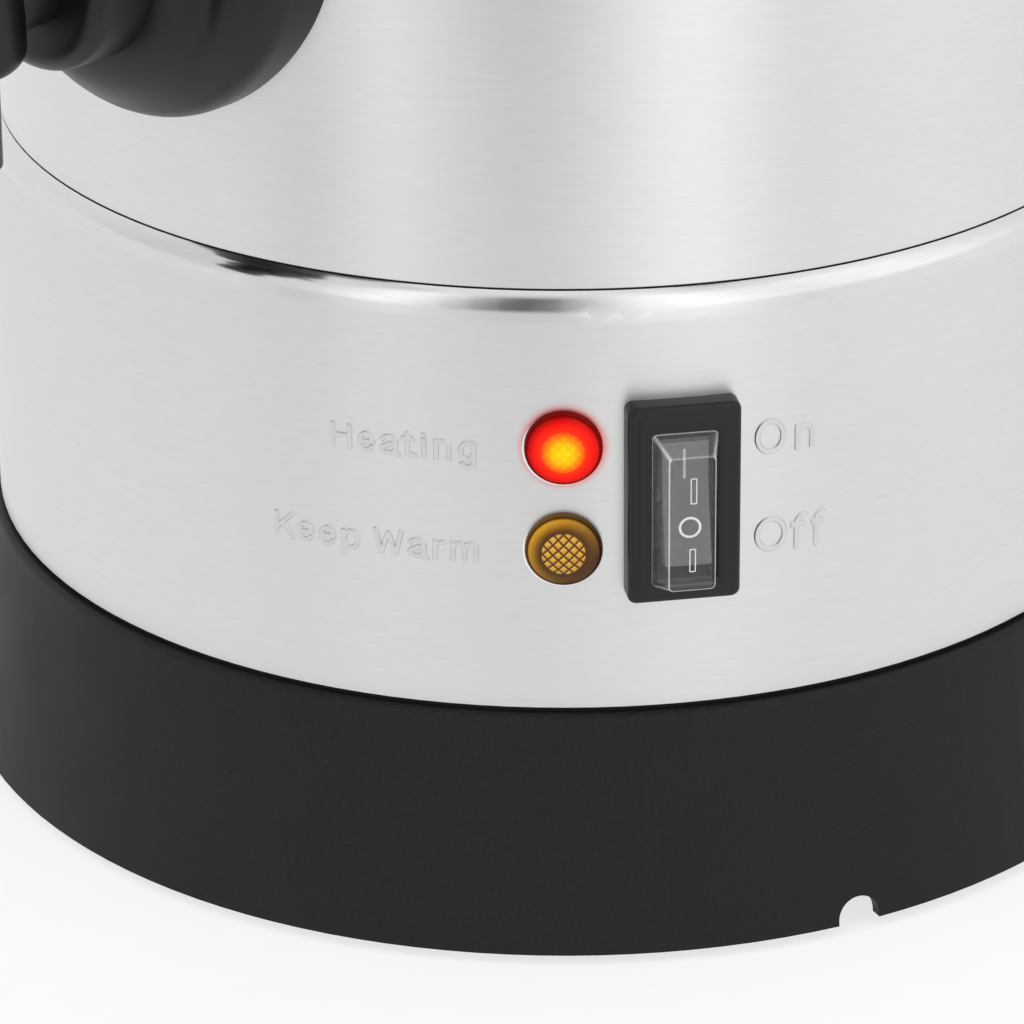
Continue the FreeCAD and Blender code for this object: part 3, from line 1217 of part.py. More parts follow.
def make_lid():
    skirt = "(%s - lid_gap)" % INSIDE
    brim = "%s + rim_width - lid_brim" % BODY
    arch = "(lid_dome - lid_wall)"
    outer = "((pow(%s; 2) + pow(%s; 2)) / (2 * %s))" % (skirt, arch, arch)
    inner = "((pow(%s - lid_wall; 2) + pow(%s; 2)) / (2 * %s))" % (skirt, arch, arch)
    shell = turned("lid_shape", [
        ("%s - lid_wall" % skirt, "%s - lid_skirt" % RIM_Z),
        (skirt, "%s - lid_skirt" % RIM_Z),
        (skirt, RIM_Z),
        (brim, RIM_Z),
        (brim, "%s + lid_wall" % RIM_Z),
        (skirt, "%s + lid_wall" % RIM_Z),
        ("0", "%s + lid_dome" % RIM_Z, outer, -1),
        ("0", "%s + lid_dome - lid_wall" % RIM_Z),
        ("%s - lid_wall" % skirt, RIM_Z, inner, 1),
    ])
    holes = [upright_rod("vent_radius", "lid_dome * 2", "vent_pitch", angle, RIM_Z)
             for angle in ("90", "210", "330")]
    holes.append(rod("knob_screw_radius + slip_gap", "lid_dome * 2", ("0", "0", RIM_Z)))
    node(cut(shell, holes), "lid_shell")
    foot = "(%s + lid_dome + seat_gap)" % RIM_Z
    knob = turned("knob_shape", [
        ("0", foot),
        ("knob_base", foot),
        ("knob_neck", "%s + knob_neck_height / 2" % foot),
        ("knob_neck", "%s + knob_neck_height" % foot),
        ("knob_radius", "%s + knob_neck_height * 1.4" % foot),
        ("knob_radius", "%s + knob_height" % foot),
        ("0", "%s + knob_height" % foot),
    ])
    soften(knob, [("knob_radius", "%s + knob_height" % foot)], "knob_edge", "knob_top_edge")
    bore = rod("knob_screw_radius + fit_gap", "knob_screw_length + slip_gap + knob_base",
               ("0", "0", "%s - knob_base" % foot))
    node(cut(knob, bore), "lid_knob")
    under = "(%s + lid_dome - lid_wall - seat_gap * 4)" % RIM_Z
    washer = cut(rod("knob_screw_head + 1", "wall_washer_height",
                     ("0", "0", "%s - wall_washer_height" % under)),
                 rod("knob_screw_radius + fit_gap", "lid_dome", ("0", "0", "%s - lid_dome / 2" % under)))
    node(washer, "knob_washer")
    seat = "(%s - wall_washer_height)" % under
    head = rod("knob_screw_head", "wall_screw_head_height",
               ("0", "0", "%s - wall_screw_head_height" % seat))
    shank = rod("knob_screw_radius", "%s - %s + wall_screw_head_height / 2 + knob_screw_length"
                % (foot, seat), ("0", "0", "%s - wall_screw_head_height / 2" % seat))
    node(join([head, shank]), "knob_screw")


# Percolator set

def make_percolator():
    well = "(%s - well_depth + vessel_wall)" % FLOOR_Z
    top = "(%s + lid_dome - lid_wall - pump_tube_clear - lid_dome / 2)" % RIM_Z
    tube = rod("pump_tube_radius", "%s - %s" % (top, well), ("0", "0", well))
    bore = rod("pump_tube_radius - pump_tube_wall", "%s * 2" % RIM_Z)
    node(cut(tube, bore), "pump_tube")
    wide = "(well_radius - vessel_wall - pump_foot_gap)"
    hole = "(pump_tube_radius + fit_gap)"
    foot = turned("foot_shape", [
        (hole, well),
        (wide, well),
        (wide, "%s + pump_foot_height / 3" % well),
        ("%s + pump_tube_wall * 3" % hole, "%s + pump_foot_height" % well),
        (hole, "%s + pump_foot_height" % well),
    ])
    node(foot, "pump_foot")
    ring = turned("collar_shape", [
        (hole, "%s - collar_height" % BASKET_Z),
        ("collar_radius", "%s - collar_height" % BASKET_Z),
        ("collar_radius", BASKET_Z),
        (hole, BASKET_Z),
    ])
    node(ring, "basket_collar")
    sleeve = "(pump_tube_radius + sleeve_gap)"
    pot = turned("basket_shape", [
        (sleeve, BASKET_Z),
        ("basket_radius", BASKET_Z),
        ("basket_radius", "%s + basket_height" % BASKET_Z),
        ("basket_radius - basket_wall", "%s + basket_height" % BASKET_Z),
        ("basket_radius - basket_wall", "%s + basket_wall" % BASKET_Z),
        ("%s + basket_wall" % sleeve, "%s + basket_wall" % BASKET_Z),
        ("%s + basket_wall" % sleeve, "%s + sleeve_height" % BASKET_Z),
        (sleeve, "%s + sleeve_height" % BASKET_Z),
    ])
    node(cut(pot, sieve("%s - basket_wall" % BASKET_Z)), "brew_basket")
    lid_z = "(%s + basket_height)" % BASKET_Z
    edge = "basket_radius + spreader_lip"
    disc = turned("spreader_shape", [
        (sleeve, lid_z),
        (edge, lid_z),
        (edge, "%s + spreader_wall * 3" % lid_z),
        ("%s - spreader_wall" % edge, "%s + spreader_wall * 3" % lid_z),
        ("%s - spreader_wall" % edge, "%s + spreader_wall" % lid_z),
        (sleeve, "%s + spreader_wall" % lid_z),
    ])
    node(cut(disc, sieve("%s - spreader_wall" % lid_z)), "basket_spreader")


def sieve(low):
    """Rings of small holes, as a group of cutting rods."""
    holes = []
    for share, count in ((0.3, 10), (0.5, 16), (0.7, 22), (0.88, 28)):
        for step in range(count):
            holes.append(upright_rod("hole_radius", "basket_wall * 4",
                                     "basket_radius * %s" % share,
                                     str(round(step * 360 / count, 6)), low))
    return group(holes)


def check_and_write():
    """Stops if anything failed, then writes one file for each piece."""
    doc.recompute()
    for obj in doc.Objects:
        if "Invalid" in obj.State or "Error" in obj.State:
            raise RuntimeError("%s (%s) failed" % (obj.Name, obj.Label))
    for obj in NODES:
        shape = obj.Shape
        if shape.isNull() or not shape.isValid() or not shape.Solids:
            raise RuntimeError("%s has no sound solid" % obj.Label)
    os.makedirs("parts", exist_ok=True)
    for obj in NODES:
        obj.Shape.exportStep("parts/%s.step" % obj.Label)
        print("%-20s %2d solids %10.1f mm3" % (obj.Label, len(obj.Shape.Solids),
                                               obj.Shape.Volume))


make_base()
make_feet()
make_bottom()
make_ties()
make_band()
make_vessel()
make_heaters()
make_block()
make_wiring()
make_lamps()
make_switch()
make_inlet()
make_rosette()
make_tap_body()
make_tap_seals()
make_valve()
make_bonnet()
make_lever()
make_gauge()
make_handles()
make_lid()
make_percolator()
check_and_write()
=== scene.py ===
"""Coffee urn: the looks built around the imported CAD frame.

Everything is in the CAD's own frame: origin on the urn's axis on the table, +Z up, the tap toward
-Y, metres.  Shapes on the round wall are worked out in millimetres as (across, up, out) at a spot,
which is an angle counted from the tap to the right and a height above the table.
"""
import json
import logging
import math
from collections.abc import Mapping, Sequence
from dataclasses import dataclass
from enum import Enum
from functools import partialmethod
from typing import Any

import bmesh
import bpy
import numpy as np
from mathutils import Matrix, Vector


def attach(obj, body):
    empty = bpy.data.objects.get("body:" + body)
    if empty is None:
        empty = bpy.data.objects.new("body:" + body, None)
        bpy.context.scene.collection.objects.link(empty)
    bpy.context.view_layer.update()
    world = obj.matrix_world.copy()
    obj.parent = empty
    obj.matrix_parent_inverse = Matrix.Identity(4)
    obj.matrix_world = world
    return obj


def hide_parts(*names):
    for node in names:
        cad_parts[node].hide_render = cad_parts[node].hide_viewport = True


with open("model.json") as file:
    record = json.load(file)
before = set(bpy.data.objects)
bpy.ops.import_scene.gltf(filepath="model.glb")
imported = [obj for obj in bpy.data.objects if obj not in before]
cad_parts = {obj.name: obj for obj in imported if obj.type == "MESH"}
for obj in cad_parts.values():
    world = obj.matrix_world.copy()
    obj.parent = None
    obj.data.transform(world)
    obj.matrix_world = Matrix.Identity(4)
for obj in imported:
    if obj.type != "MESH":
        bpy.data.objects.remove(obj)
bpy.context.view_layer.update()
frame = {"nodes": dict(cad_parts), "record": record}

Colour = tuple[float, float, float]
Pair = tuple[float, float]
WHITE = (1.0, 1.0, 1.0)
MM = 0.001        # one millimetre in metres
BAND = 112.0      # radius of the lower band, and of the vessel on it, in millimetres
VESSEL = 109.2
SEAT = 0.05       # how far the new pieces' rims stand off the wall under them
log = logging.getLogger("urn")


class Body(Enum):
    """The rigid bodies that pieces ride on."""

    URN = "urn"
    LEVER = "lever"
    ROCKER = "rocker"
    LID = "lid"


class Grain(Enum):
    """The way a steel surface is brushed."""

    ROUND = "round"
    SPUN = "spun"
    SATIN = "satin"


# Shader building

class Wire:
    """A value in a node tree that Python's operators work on."""

    def __init__(self, tree: bpy.types.NodeTree, socket: bpy.types.NodeSocket) -> None:
        """Keeps the tree and the output socket."""
        self.tree = tree
        self.socket = socket

    def maths(self, operation: str, other: Any = None, swapped: bool = False) -> "Wire":
        """Adds one Math node.

        Args:
            operation: the Math node's operation.
            other: the second value, a number or a Wire.
            swapped: puts the other value first.

        Returns:
            The node's output.
        """
        node = self.tree.nodes.new("ShaderNodeMath")
        node.operation = operation
        pair = (other, self) if swapped else (self, other)
        for place, item in zip(node.inputs, pair):
            if isinstance(item, Wire):
                self.tree.links.new(item.socket, place)
            elif item is not None:
                place.default_value = item
        return Wire(self.tree, node.outputs[0])

    __add__ = partialmethod(maths, "ADD")
    __sub__ = partialmethod(maths, "SUBTRACT")
    __mul__ = partialmethod(maths, "MULTIPLY")
    __truediv__ = partialmethod(maths, "DIVIDE")
    __pow__ = partialmethod(maths, "POWER")
    __radd__ = partialmethod(maths, "ADD", swapped=True)
    __rsub__ = partialmethod(maths, "SUBTRACT", swapped=True)
    __rmul__ = partialmethod(maths, "MULTIPLY", swapped=True)
    absolute = partialmethod(maths, "ABSOLUTE")
    larger = partialmethod(maths, "MAXIMUM")
    smaller = partialmethod(maths, "MINIMUM")

    def step(self, low: float, high: float) -> "Wire":
        """A smooth step from 0 at low to 1 at high."""
        node = self.tree.nodes.new("ShaderNodeMapRange")
        node.interpolation_type = "SMOOTHSTEP"
        self.tree.links.new(self.socket, node.inputs["Value"])
        node.inputs["From Min"].default_value = low
        node.inputs["From Max"].default_value = high
        return Wire(self.tree, node.outputs["Result"])


class Shade:
    """The nodes of a material, or of the world, under construction."""

    def __init__(self, name: str, world: bool = False) -> None:
        """Starts a material or a world with nothing but its output."""
        self.data = (bpy.data.worlds if world else bpy.data.materials).new(name)
        self.data.use_nodes = True
        self.tree = self.data.node_tree
        self.tree.nodes.clear()
        self.output = self.tree.nodes.new("ShaderNodeOutput" + ("World" if world else "Material"))

    def node(self, kind: str, values: Mapping[str | int, Any] | None = None,
             output: str | int = 0, **settings: Any) -> Wire:
        """Adds any node.

        Args:
            kind: the node's type without its ShaderNode prefix.
            values: numbers, colours or Wires for the node's sockets, by name or place.
            output: which output is wanted.
            settings: properties; "stops" fills a colour ramp with (place, colour).

        Returns:
            That output.
        """
        node = self.tree.nodes.new("ShaderNode" + kind)
        stops = settings.pop("stops", ())
        for key, value in settings.items():
            setattr(node, key, value)
        for number, (place, colour) in enumerate(stops):
            band = node.color_ramp.elements
            stop = band[number] if number < len(band) else band.new(place)
            stop.position = place
            stop.color = (*colour, 1.0)
        for key, value in (values or {}).items():
            place = node.inputs[key]
            if isinstance(value, Wire):
                self.tree.links.new(value.socket, place)
            elif isinstance(value, tuple) and place.type == "RGBA":
                place.default_value = (*value, 1.0)
            else:
                place.default_value = value
        return Wire(self.tree, node.outputs[output])

    def position(self) -> Wire:
        """Object coordinates, in metres."""
        return self.node("TexCoord", output="Object")

    def parts(self, vector: Wire) -> tuple[Wire, Wire, Wire]:
        """The three parts of a vector."""
        node = self.tree.nodes.new("ShaderNodeSeparateXYZ")
        self.tree.links.new(vector.socket, node.inputs[0])
        return tuple(Wire(self.tree, item) for item in node.outputs)

    def away(self, vector: Wire, local: Colour, spot: "Spot") -> Wire:
        """Distance in metres from a point given as (across, up, out) at a spot."""
        centre = tuple(spot.place(np.array(local)))
        return self.node("VectorMath", {0: vector, 1: centre}, "Value", operation="DISTANCE")

    def noise(self, vector: Wire, scale: float | Colour, detail: float = 2.0,
              rough: float = 0.5) -> Wire:
        """Noise from 0 to 1 with its middle at a half; three scales draw it out."""
        if isinstance(scale, tuple):
            vector = self.node("VectorMath", {0: vector, 1: scale}, operation="MULTIPLY")
            scale = 1.0
        return self.node("TexNoise", {"Vector": vector, "Scale": scale, "Detail": detail,
                                      "Roughness": rough}, "Fac")

    def blend(self, share: Wire | float, first: Colour | Wire, second: Colour | Wire,
              **settings: Any) -> Wire:
        """A colour between two colours."""
        return self.node("MixRGB", {"Fac": share, "Color1": first, "Color2": second}, **settings)

    def bump(self, height: Wire, depth: float, strength: float = 1.0) -> Wire:
        """A surface normal from a height between 0 and 1 and its depth in metres."""
        return self.node("Bump", {"Height": height, "Distance": depth, "Strength": strength},
                         "Normal")

    def close(self, shader: Wire) -> Any:
        """Joins a shader to the output and gives back the material or the world."""
        self.tree.links.new(shader.socket, self.output.inputs["Surface"])
        return self.data

    def finish(self, values: Mapping[str, Any]) -> bpy.types.Material:
        """Ends in one Principled shader whose sockets get the values."""
        return self.close(self.node("BsdfPrincipled", values))


@dataclass(frozen=True)
class Spot:
    """A place on the wall: an angle counted from the tap to the right, and a height."""

    angle: float
    height: float

    def place(self, local: np.ndarray) -> np.ndarray:
        """Turns (across, up, out) millimetres into the frame's metres.

        Args:
            local: points, with out counted from the urn's axis.

        Returns:
            The points in metres.
        """
        a = math.radians(self.angle)
        across, up, out = local[..., 0], local[..., 1], local[..., 2]
        return np.stack([across * math.cos(a) + out * math.sin(a),
                         across * math.sin(a) - out * math.cos(a),
                         up + self.height], -1) * MM


RED_LAMP = Spot(43.1, 100.5)
AMBER_LAMP = Spot(43.1, 80.7)


# Finishes

PAINTED_GLOW_RANGE = (0.0066, 0.0094)         # where the painted red glow of the lit lamp on the steel starts and ends, metres
PAINTED_GLINT = (0.00700, 0.00728)      # the painted highlight's disc at each lamp hole: where it starts and ends to fade
GLINT_AT = (-0.24, -0.36, BAND)  # and its middle, as (across, up, out) in millimetres


@dataclass(frozen=True)
class Steel:
    """Stainless steel with short brush lines, a faint cloudiness and a few deeper scratches."""

    name: str
    tone: float
    roughness: float
    anisotropy: float
    grain: Grain = Grain.ROUND
    warmth: float = 0.0
    depth: float = 0.0000022
    contrast: float = 0.030
    shoulder: float = 0.0
    shoulder_fade: float = 0.0025
    shoulder_gloss: float = 0.68
    lamps: tuple[Spot, ...] = ()

    def lamp_light(self, shade: Shade, place: Wire, colour: Wire) -> Wire:
        """Painted light from the lamps on the steel round them, the first lamp being lit.

        The steel's colour is painted red round the lit lamp, a painted glow that fades with the
        distance, and painted white at the lower left of every lamp's hole, a painted highlight: the
        part of a shifted disc that the lens leaves bare.
        """
        for lamp in self.lamps[:1]:
            # painted glow: the lit lamp's red painted into the steel's colour, fading with the
            # distance
            painted_glow = 1.0 - shade.away(place, (0.0, 0.0, BAND), lamp).step(*PAINTED_GLOW_RANGE)
            colour = shade.blend(painted_glow * painted_glow * 0.8, colour, (0.92, 0.10, 0.08))
        for lamp in self.lamps:
            # painted highlight: white painted at the lower left of every lamp's hole
            disc = 1.0 - shade.away(place, GLINT_AT, lamp).step(*PAINTED_GLINT)
            colour = shade.blend(disc, colour, WHITE)
        return colour

    def make(self) -> bpy.types.Material:
        """Brush lines are noise drawn out along the brushing and packed across it.

        Above the height "shoulder" the band is pressed round, where its finish is glossier.
        """
        shade = Shade(self.name)
        place = shade.position()
        x, y, z = shade.parts(place)
        if self.grain is Grain.SATIN:
            fine = shade.noise(place, 3200.0, 3.0)
            long = shade.noise(place, 420.0)
        else:
            across = (x * x + y * y) ** 0.5 if self.grain is Grain.SPUN else z
            brushed = shade.node("CombineXYZ", {"X": x, "Y": y, "Z": across})
            fine = shade.noise(brushed, (300.0, 300.0, 3200.0), 2.0, 0.55)
            long = shade.noise(brushed, (120.0, 120.0, 1200.0))
        cloud = shade.noise(place, 30.0)
        scratch = shade.noise(place, (110.0, 110.0, 5200.0), 1.0).step(0.72, 0.82)
        tint = (1.0 + self.warmth, 1.0, 1.0 - self.warmth)
        dark = tuple(self.tone * (1.0 - self.contrast) * part for part in tint)
        light = tuple(min(self.tone * (1.0 + self.contrast) * part, 1.0) for part in tint)
        share = fine * 0.45 + long * 0.30 + cloud * 0.25
        colour = self.lamp_light(shade, place, shade.blend(share.step(0.30, 0.70), dark, light))
        rough = self.roughness + (fine - 0.5) * 0.06 + (cloud - 0.5) * 0.05
        if self.shoulder:
            pressed = z.step(self.shoulder, self.shoulder + self.shoulder_fade)
            rough = rough - pressed * (self.roughness * self.shoulder_gloss)
        height = fine * 0.7 + long * 0.3 - scratch * 0.6
        return shade.finish({
            "Base Color": colour, "Metallic": 1.0, "Roughness": rough,
            "Anisotropic": self.anisotropy, "Anisotropic Rotation": 0.25,
            "Normal": shade.bump(height, self.depth, 0.6),
        })


@dataclass(frozen=True)
class Moulded:
    """Moulded plastic or rubber: spark-eroded grain, mottling and slightly rubbed high spots."""

    name: str
    colour: Colour
    roughness: float = 0.5
    grain: float = 2300.0
    depth: float = 0.00003
    gloss: float = 0.5
    mottle: float = 0.25

    def make(self) -> bpy.types.Material:
        """The grain is fine noise in the bump, the mottling a weaker one in colour and gloss."""
        shade = Shade(self.name)
        place = shade.position()
        grain = shade.noise(place, self.grain, 2.0, 0.6)
        patch = shade.noise(place, 60.0, 3.0)
        rub = shade.noise(place, (300.0, 300.0, 900.0)).step(0.66, 0.80)
        low = tuple(part * (1.0 - self.mottle) for part in self.colour)
        high = tuple(min(part * (1.0 + self.mottle), 1.0) for part in self.colour)
        colour = shade.blend(grain.step(0.3, 0.7), low, high)
        rubbed = tuple(min(part * 1.15 + 0.004, 1.0) for part in self.colour)
        colour = shade.blend(rub * 0.35, colour, rubbed)
        rough = self.roughness + (patch - 0.5) * 0.12 + (grain - 0.5) * 0.08 - rub * 0.05
        return shade.finish({
            "Base Color": colour, "Roughness": rough, "Specular IOR Level": self.gloss,
            "Normal": shade.bump(grain, self.depth, 0.5),
        })


@dataclass(frozen=True)
class ClearPlastic:
    """Clear moulded plastic that shows what is under it, with painted highlights on its rounded
    edges.
    """

    name: str
    haze: float = 0.04
    edge: float = 0.75
    tint: Colour = (0.86, 0.88, 0.88)

    def make(self) -> bpy.types.Material:
        """The piece's own attribute "edge" raises the opacity along its roundings,
        which paints highlights on them.
        """
        shade = Shade(self.name)
        place = shade.position()
        dust = shade.noise(place, 900.0, 3.0)
        # painted highlight: its strength comes from the piece's "edge" attribute
        mark = shade.node("Attribute", output="Fac", attribute_name="edge")
        wipe = shade.noise(place, (200.0, 200.0, 40.0))
        return shade.finish({
            "Base Color": shade.blend(dust * 0.3, self.tint, (0.97, 0.97, 0.98)),
            "Roughness": 0.06 + wipe * 0.08,
            "Alpha": self.haze + mark * self.edge + (dust - 0.5) * 0.05,
            "Specular IOR Level": 0.7, "Coat Weight": 1.0, "Coat Roughness": 0.03,
        })


@dataclass(frozen=True)
class Glass:
    """Clear tube glass with a trace of lime inside."""

    name: str
    tint: Colour = (0.93, 0.96, 0.95)

    def make(self) -> bpy.types.Material:
        """Lime is streaky noise that follows the height."""
        shade = Shade(self.name)
        lime = shade.noise(shade.position(), (500.0, 500.0, 60.0), 3.0).step(0.55, 0.8)
        return shade.finish({
            "Base Color": shade.blend(lime * 0.4, self.tint, (0.82, 0.83, 0.80)),
            "Roughness": 0.02 + lime * 0.12, "IOR": 1.47, "Transmission Weight": 1.0,
        })


LIT_STOPS = ((0.0, (1.0, 0.34, 0.0)), (0.27, (1.0, 0.26, 0.0)), (0.44, (1.0, 0.11, 0.0)),
             (0.58, (0.70, 0.012, 0.0)), (0.74, (0.34, 0.001, 0.0)), (0.87, (0.20, 0.0, 0.0)),
             (0.94, (0.045, 0.0, 0.0)), (1.0, (0.02, 0.0, 0.0)))


@dataclass(frozen=True)
class LampGlass:
    """A domed lamp lens: small pyramids in the middle, seen through a smooth glossy skin.

    Its lengths are millimetres; "reach" is the lens's radius.  Its colours hold painted light and
    shade: "valley" is painted shade between the pyramids, "edge" is painted light and shade on the
    outer ring's upper left, and a dark ring is painted round the rim as shade.
    """

    name: str
    centre: Colour
    middle: Colour
    edge: Colour
    valley: Colour
    coat: float
    gloss: float
    glow: float = 0.0
    pitch: float = 1.35
    disc: float = 4.05
    rim: float = 6.15
    reach: float = 7.0

    def make(self) -> bpy.types.Material:
        """The own UV map holds millimetres from the lens centre.

        The pyramids' height is one less the larger of two triangle waves, set at 45 degrees.
        """
        shade = Shade(self.name)
        across, up, _ = shade.parts(shade.node("TexCoord", output="UV"))
        far = (across * across + up * up) ** 0.5
        pace = math.sqrt(0.5) / self.pitch
        waves = [((line * pace).maths("FRACT") - 0.5).absolute() * 2.0
                 for line in (across + up, across - up)]
        inside = 1.0 - far.step(self.disc - 0.25, self.disc + 0.1)
        height = (1.0 - waves[0].larger(waves[1])) * inside
        # painted light and shade by side: towards the upper left the outer ring takes the "edge"
        # colour
        light = ((up - across) * 0.065 + 0.45).larger(0.0).smaller(1.0)
        ring = far.step(self.disc + 0.1, 6.4) * light
        rim = far.step(self.rim, self.rim + 0.35)
        speckle = shade.noise(shade.position(), 2600.0)
        # painted shade: the pyramids' valleys take the dark "valley" colour, their tops the
        # "centre" colour
        faces = shade.blend(height.step(0.05, 0.50), self.valley, self.centre)
        colour = shade.blend(inside, shade.blend(ring, self.middle, self.edge), faces)
        # painted shade: a dark ring painted round the lens's rim
        colour = shade.blend(rim * 0.85, colour, tuple(part * 0.25 for part in self.valley))
        colour = shade.blend(speckle * 0.12, colour, self.middle)
        values = {
            "Base Color": colour, "Roughness": 0.22 + speckle * 0.05,
            "Coat Weight": self.coat, "Coat Roughness": 0.03, "Coat IOR": 1.5,
            "Specular IOR Level": self.gloss, "Normal": shade.bump(height, 0.0005),
        }
        if self.glow:
            lit = shade.node("ValToRGB", {"Fac": far / self.reach}, stops=LIT_STOPS)
            shadow = shade.blend(height * inside * 0.5, (0.66, 0.66, 0.66), WHITE)
            values["Emission Color"] = shade.blend(1.0, lit, shadow, blend_type="MULTIPLY")
            values["Emission Strength"] = self.glow
        return shade.finish(values)


def make_finishes() -> dict[str, bpy.types.Material]:
    """One material for each of the record's material slots, and three for letters and signs."""
    black = (0.011, 0.011, 0.012)
    jet = (0.0045, 0.0045, 0.0050)
    satin = (0.0, Grain.SATIN)
    print_skin = (0.5, 3000.0, 0.000004, 0.3, 0.05)
    plans = {
        "base_plastic": Moulded("base_black", (0.0062, 0.0062, 0.0068), 0.56, 1700.0, 0.00006,
                                0.27, 0.30),
        "tap_plastic": Moulded("tap_black", jet, 0.36, 2600.0, 0.000012, 0.36, 0.12),
        "lever_plastic": Moulded("lever_black", black, 0.38, 2600.0, 0.000015),
        "handle_plastic": Moulded("handle_black", (0.012, 0.012, 0.013), 0.46, 1900.0, 0.00004),
        "knob_plastic": Moulded("knob_black", black, 0.40, 2100.0),
        "feet_rubber": Moulded("feet_rubber", (0.020, 0.020, 0.021), 0.80, 1500.0, 0.00006, 0.25),
        "seal_rubber": Moulded("seam_rubber", (0.010, 0.010, 0.010), 0.75, 1500.0, gloss=0.2),
        "silicone": Moulded("silicone_grey", (0.62, 0.62, 0.60), 0.55, 1200.0, 0.00002),
        # painted light: the band's steel gets the lit lamp's red glow and a highlight at each lamp
        "band_steel": Steel("band_steel", 0.715, 0.40, 0.5, shoulder=0.1235,
                            lamps=(RED_LAMP, AMBER_LAMP)),
        # the band's steel with its tone painted darker for the letters: painted shade
        "letter_steel_painted_shade": Steel("letter_steel_painted_shade", 0.67, 0.40, 0.4),
        "vessel_steel": Steel("vessel_steel", 0.73, 0.31, 0.6),
        "lid_steel": Steel("lid_steel", 0.70, 0.27, 0.3, Grain.SPUN),
        "basket_steel": Steel("basket_steel", 0.68, 0.30, 0.3),
        "hardware_steel": Steel("screw_steel", 0.60, 0.26, *satin),
        "bottom_steel": Steel("plate_steel", 0.60, 0.40, *satin),
        "aluminium": Steel("heater_aluminium", 0.72, 0.45, *satin),
        "element_steel": Steel("element_steel", 0.42, 0.42, *satin, 0.06),
        "pin_metal": Steel("pin_metal", 0.66, 0.24, *satin, 0.04),
        "nut_metal": Steel("nut_metal", 0.66, 0.30, *satin, 0.10),
        "control_plastic": Moulded("holder_plastic", (0.55, 0.53, 0.48), 0.55, 1500.0, 0.00004),
        "fuse_sleeve": Moulded("fuse_sleeve", (0.72, 0.70, 0.64), 0.80, 900.0, 0.00010),
        "block_plastic": Moulded("block_plastic", (0.66, 0.64, 0.58), 0.6, 1400.0, 0.00004),
        "wire_cover": Moulded("wire_cover", (0.60, 0.58, 0.50), 0.6, 1800.0),
        "red_lens": LampGlass("red_lens", (0.55, 0.03, 0.01), (0.42, 0.01, 0.006),
                              (0.10, 0.002, 0.002), (0.30, 0.008, 0.004), 0.15, 0.0, 3.0),
        "amber_lens": LampGlass("amber_lens", (0.85, 0.46, 0.07), (0.085, 0.030, 0.003),
                                (0.62, 0.30, 0.012), (0.085, 0.028, 0.003), 0.20, 0.1),
        "switch_plastic": Moulded("bezel_black", jet, 0.34, 2400.0, 0.000010, 0.36, 0.12),
        "rocker_plastic": Moulded("rocker_grey", (0.10, 0.10, 0.103), 0.42, 2200.0, 0.000012,
                                  0.4, 0.12),
        "clear_cover": ClearPlastic("clear_cover"),
        "inlet_plastic": Moulded("inlet_black", black, 0.48, 2000.0),
        "gauge_glass": Glass("gauge_glass"),
        "rocker_print": Moulded("grey_print", (0.40, 0.40, 0.395), *print_skin),
        "print": Moulded("white_print", (0.72, 0.72, 0.71), *print_skin),
    }
    return {slot: plan.make() for slot, plan in plans.items()}


# Shapes

CORNER_POINTS = 7       # points in each round corner of a rectangle


def all_round(steps: int) -> np.ndarray:
    """The angles of a full turn, without the last."""
    return np.linspace(0.0, 2 * math.pi, steps, endpoint=False)


def superellipse(steps: int, power: float) -> tuple[np.ndarray, np.ndarray]:
    """Points of |a|^n + |b|^n = 1, where a and b are sign(c) |c|^(2/n) of a cosine or sine c."""
    turn = all_round(steps)
    return tuple(np.sign(part) * np.abs(part) ** (2.0 / power)
                 for part in (np.cos(turn), np.sin(turn)))


def rounded_corners(points: Sequence[Pair], radii: Sequence[float],
                    steps: int = 6) -> np.ndarray:
    """Rounds the corners of a closed outline.

    Each corner becomes the curve (1-t)^2 a + 2t(1-t) b + t^2 c, where b is the corner and a and c
    lie on its two sides at the rounding's distance.

    Args:
        points: the corners in order.
        radii: each corner's distance.
        steps: pieces in a rounded corner.

    Returns:
        The outline as an array of points.
    """
    corners = np.asarray(points, float)
    reach = np.asarray(radii, float)[:, None]
    before = np.roll(corners, 1, axis=0) - corners
    after = np.roll(corners, -1, axis=0) - corners
    start = corners + before / np.linalg.norm(before, axis=1, keepdims=True) * reach
    end = corners + after / np.linalg.norm(after, axis=1, keepdims=True) * reach
    t = np.linspace(0.0, 1.0, steps + 1)[None, :, None]
    curve = ((1 - t) ** 2 * start[:, None] + 2 * t * (1 - t) * corners[:, None]
             + t ** 2 * end[:, None])
    return curve.reshape(-1, 2)


def rounded_rectangle(half_width: float, half_height: float, radius: float,
                      steps: int = CORNER_POINTS - 1) -> np.ndarray:
    """A rectangle with round corners: each corner's centre plus the radius times (cos, sin)."""
    turn = np.linspace(0.0, math.pi / 2, steps + 1)
    angle = (turn[None, :] + (np.arange(4) * math.pi / 2)[:, None]).ravel()
    side_x = np.repeat([1.0, -1.0, -1.0, 1.0], steps + 1) * (half_width - radius)
    side_y = np.repeat([1.0, 1.0, -1.0, -1.0], steps + 1) * (half_height - radius)
    return np.stack([side_x + radius * np.cos(angle), side_y + radius * np.sin(angle)], -1)


def inset(outline: np.ndarray, distance: float | np.ndarray) -> np.ndarray:
    """Moves a closed outline inward along its normals, which are its tangents turned by 90."""
    along = np.roll(outline, -1, axis=0) - np.roll(outline, 1, axis=0)
    normal = np.stack([along[:, 1], -along[:, 0]], -1)
    normal /= np.linalg.norm(normal, axis=1, keepdims=True) + 1e-12
    area = np.sum(outline[:, 0] * np.roll(outline[:, 1], -1)
                  - np.roll(outline[:, 0], -1) * outline[:, 1])
    return outline - normal * math.copysign(1.0, area) * distance


def wall_depth(across: np.ndarray, radius: float) -> np.ndarray:
    """How far out the round wall is at a distance across: sqrt(radius^2 - across^2)."""
    return np.sqrt(np.maximum(radius ** 2 - across ** 2, 0.0))


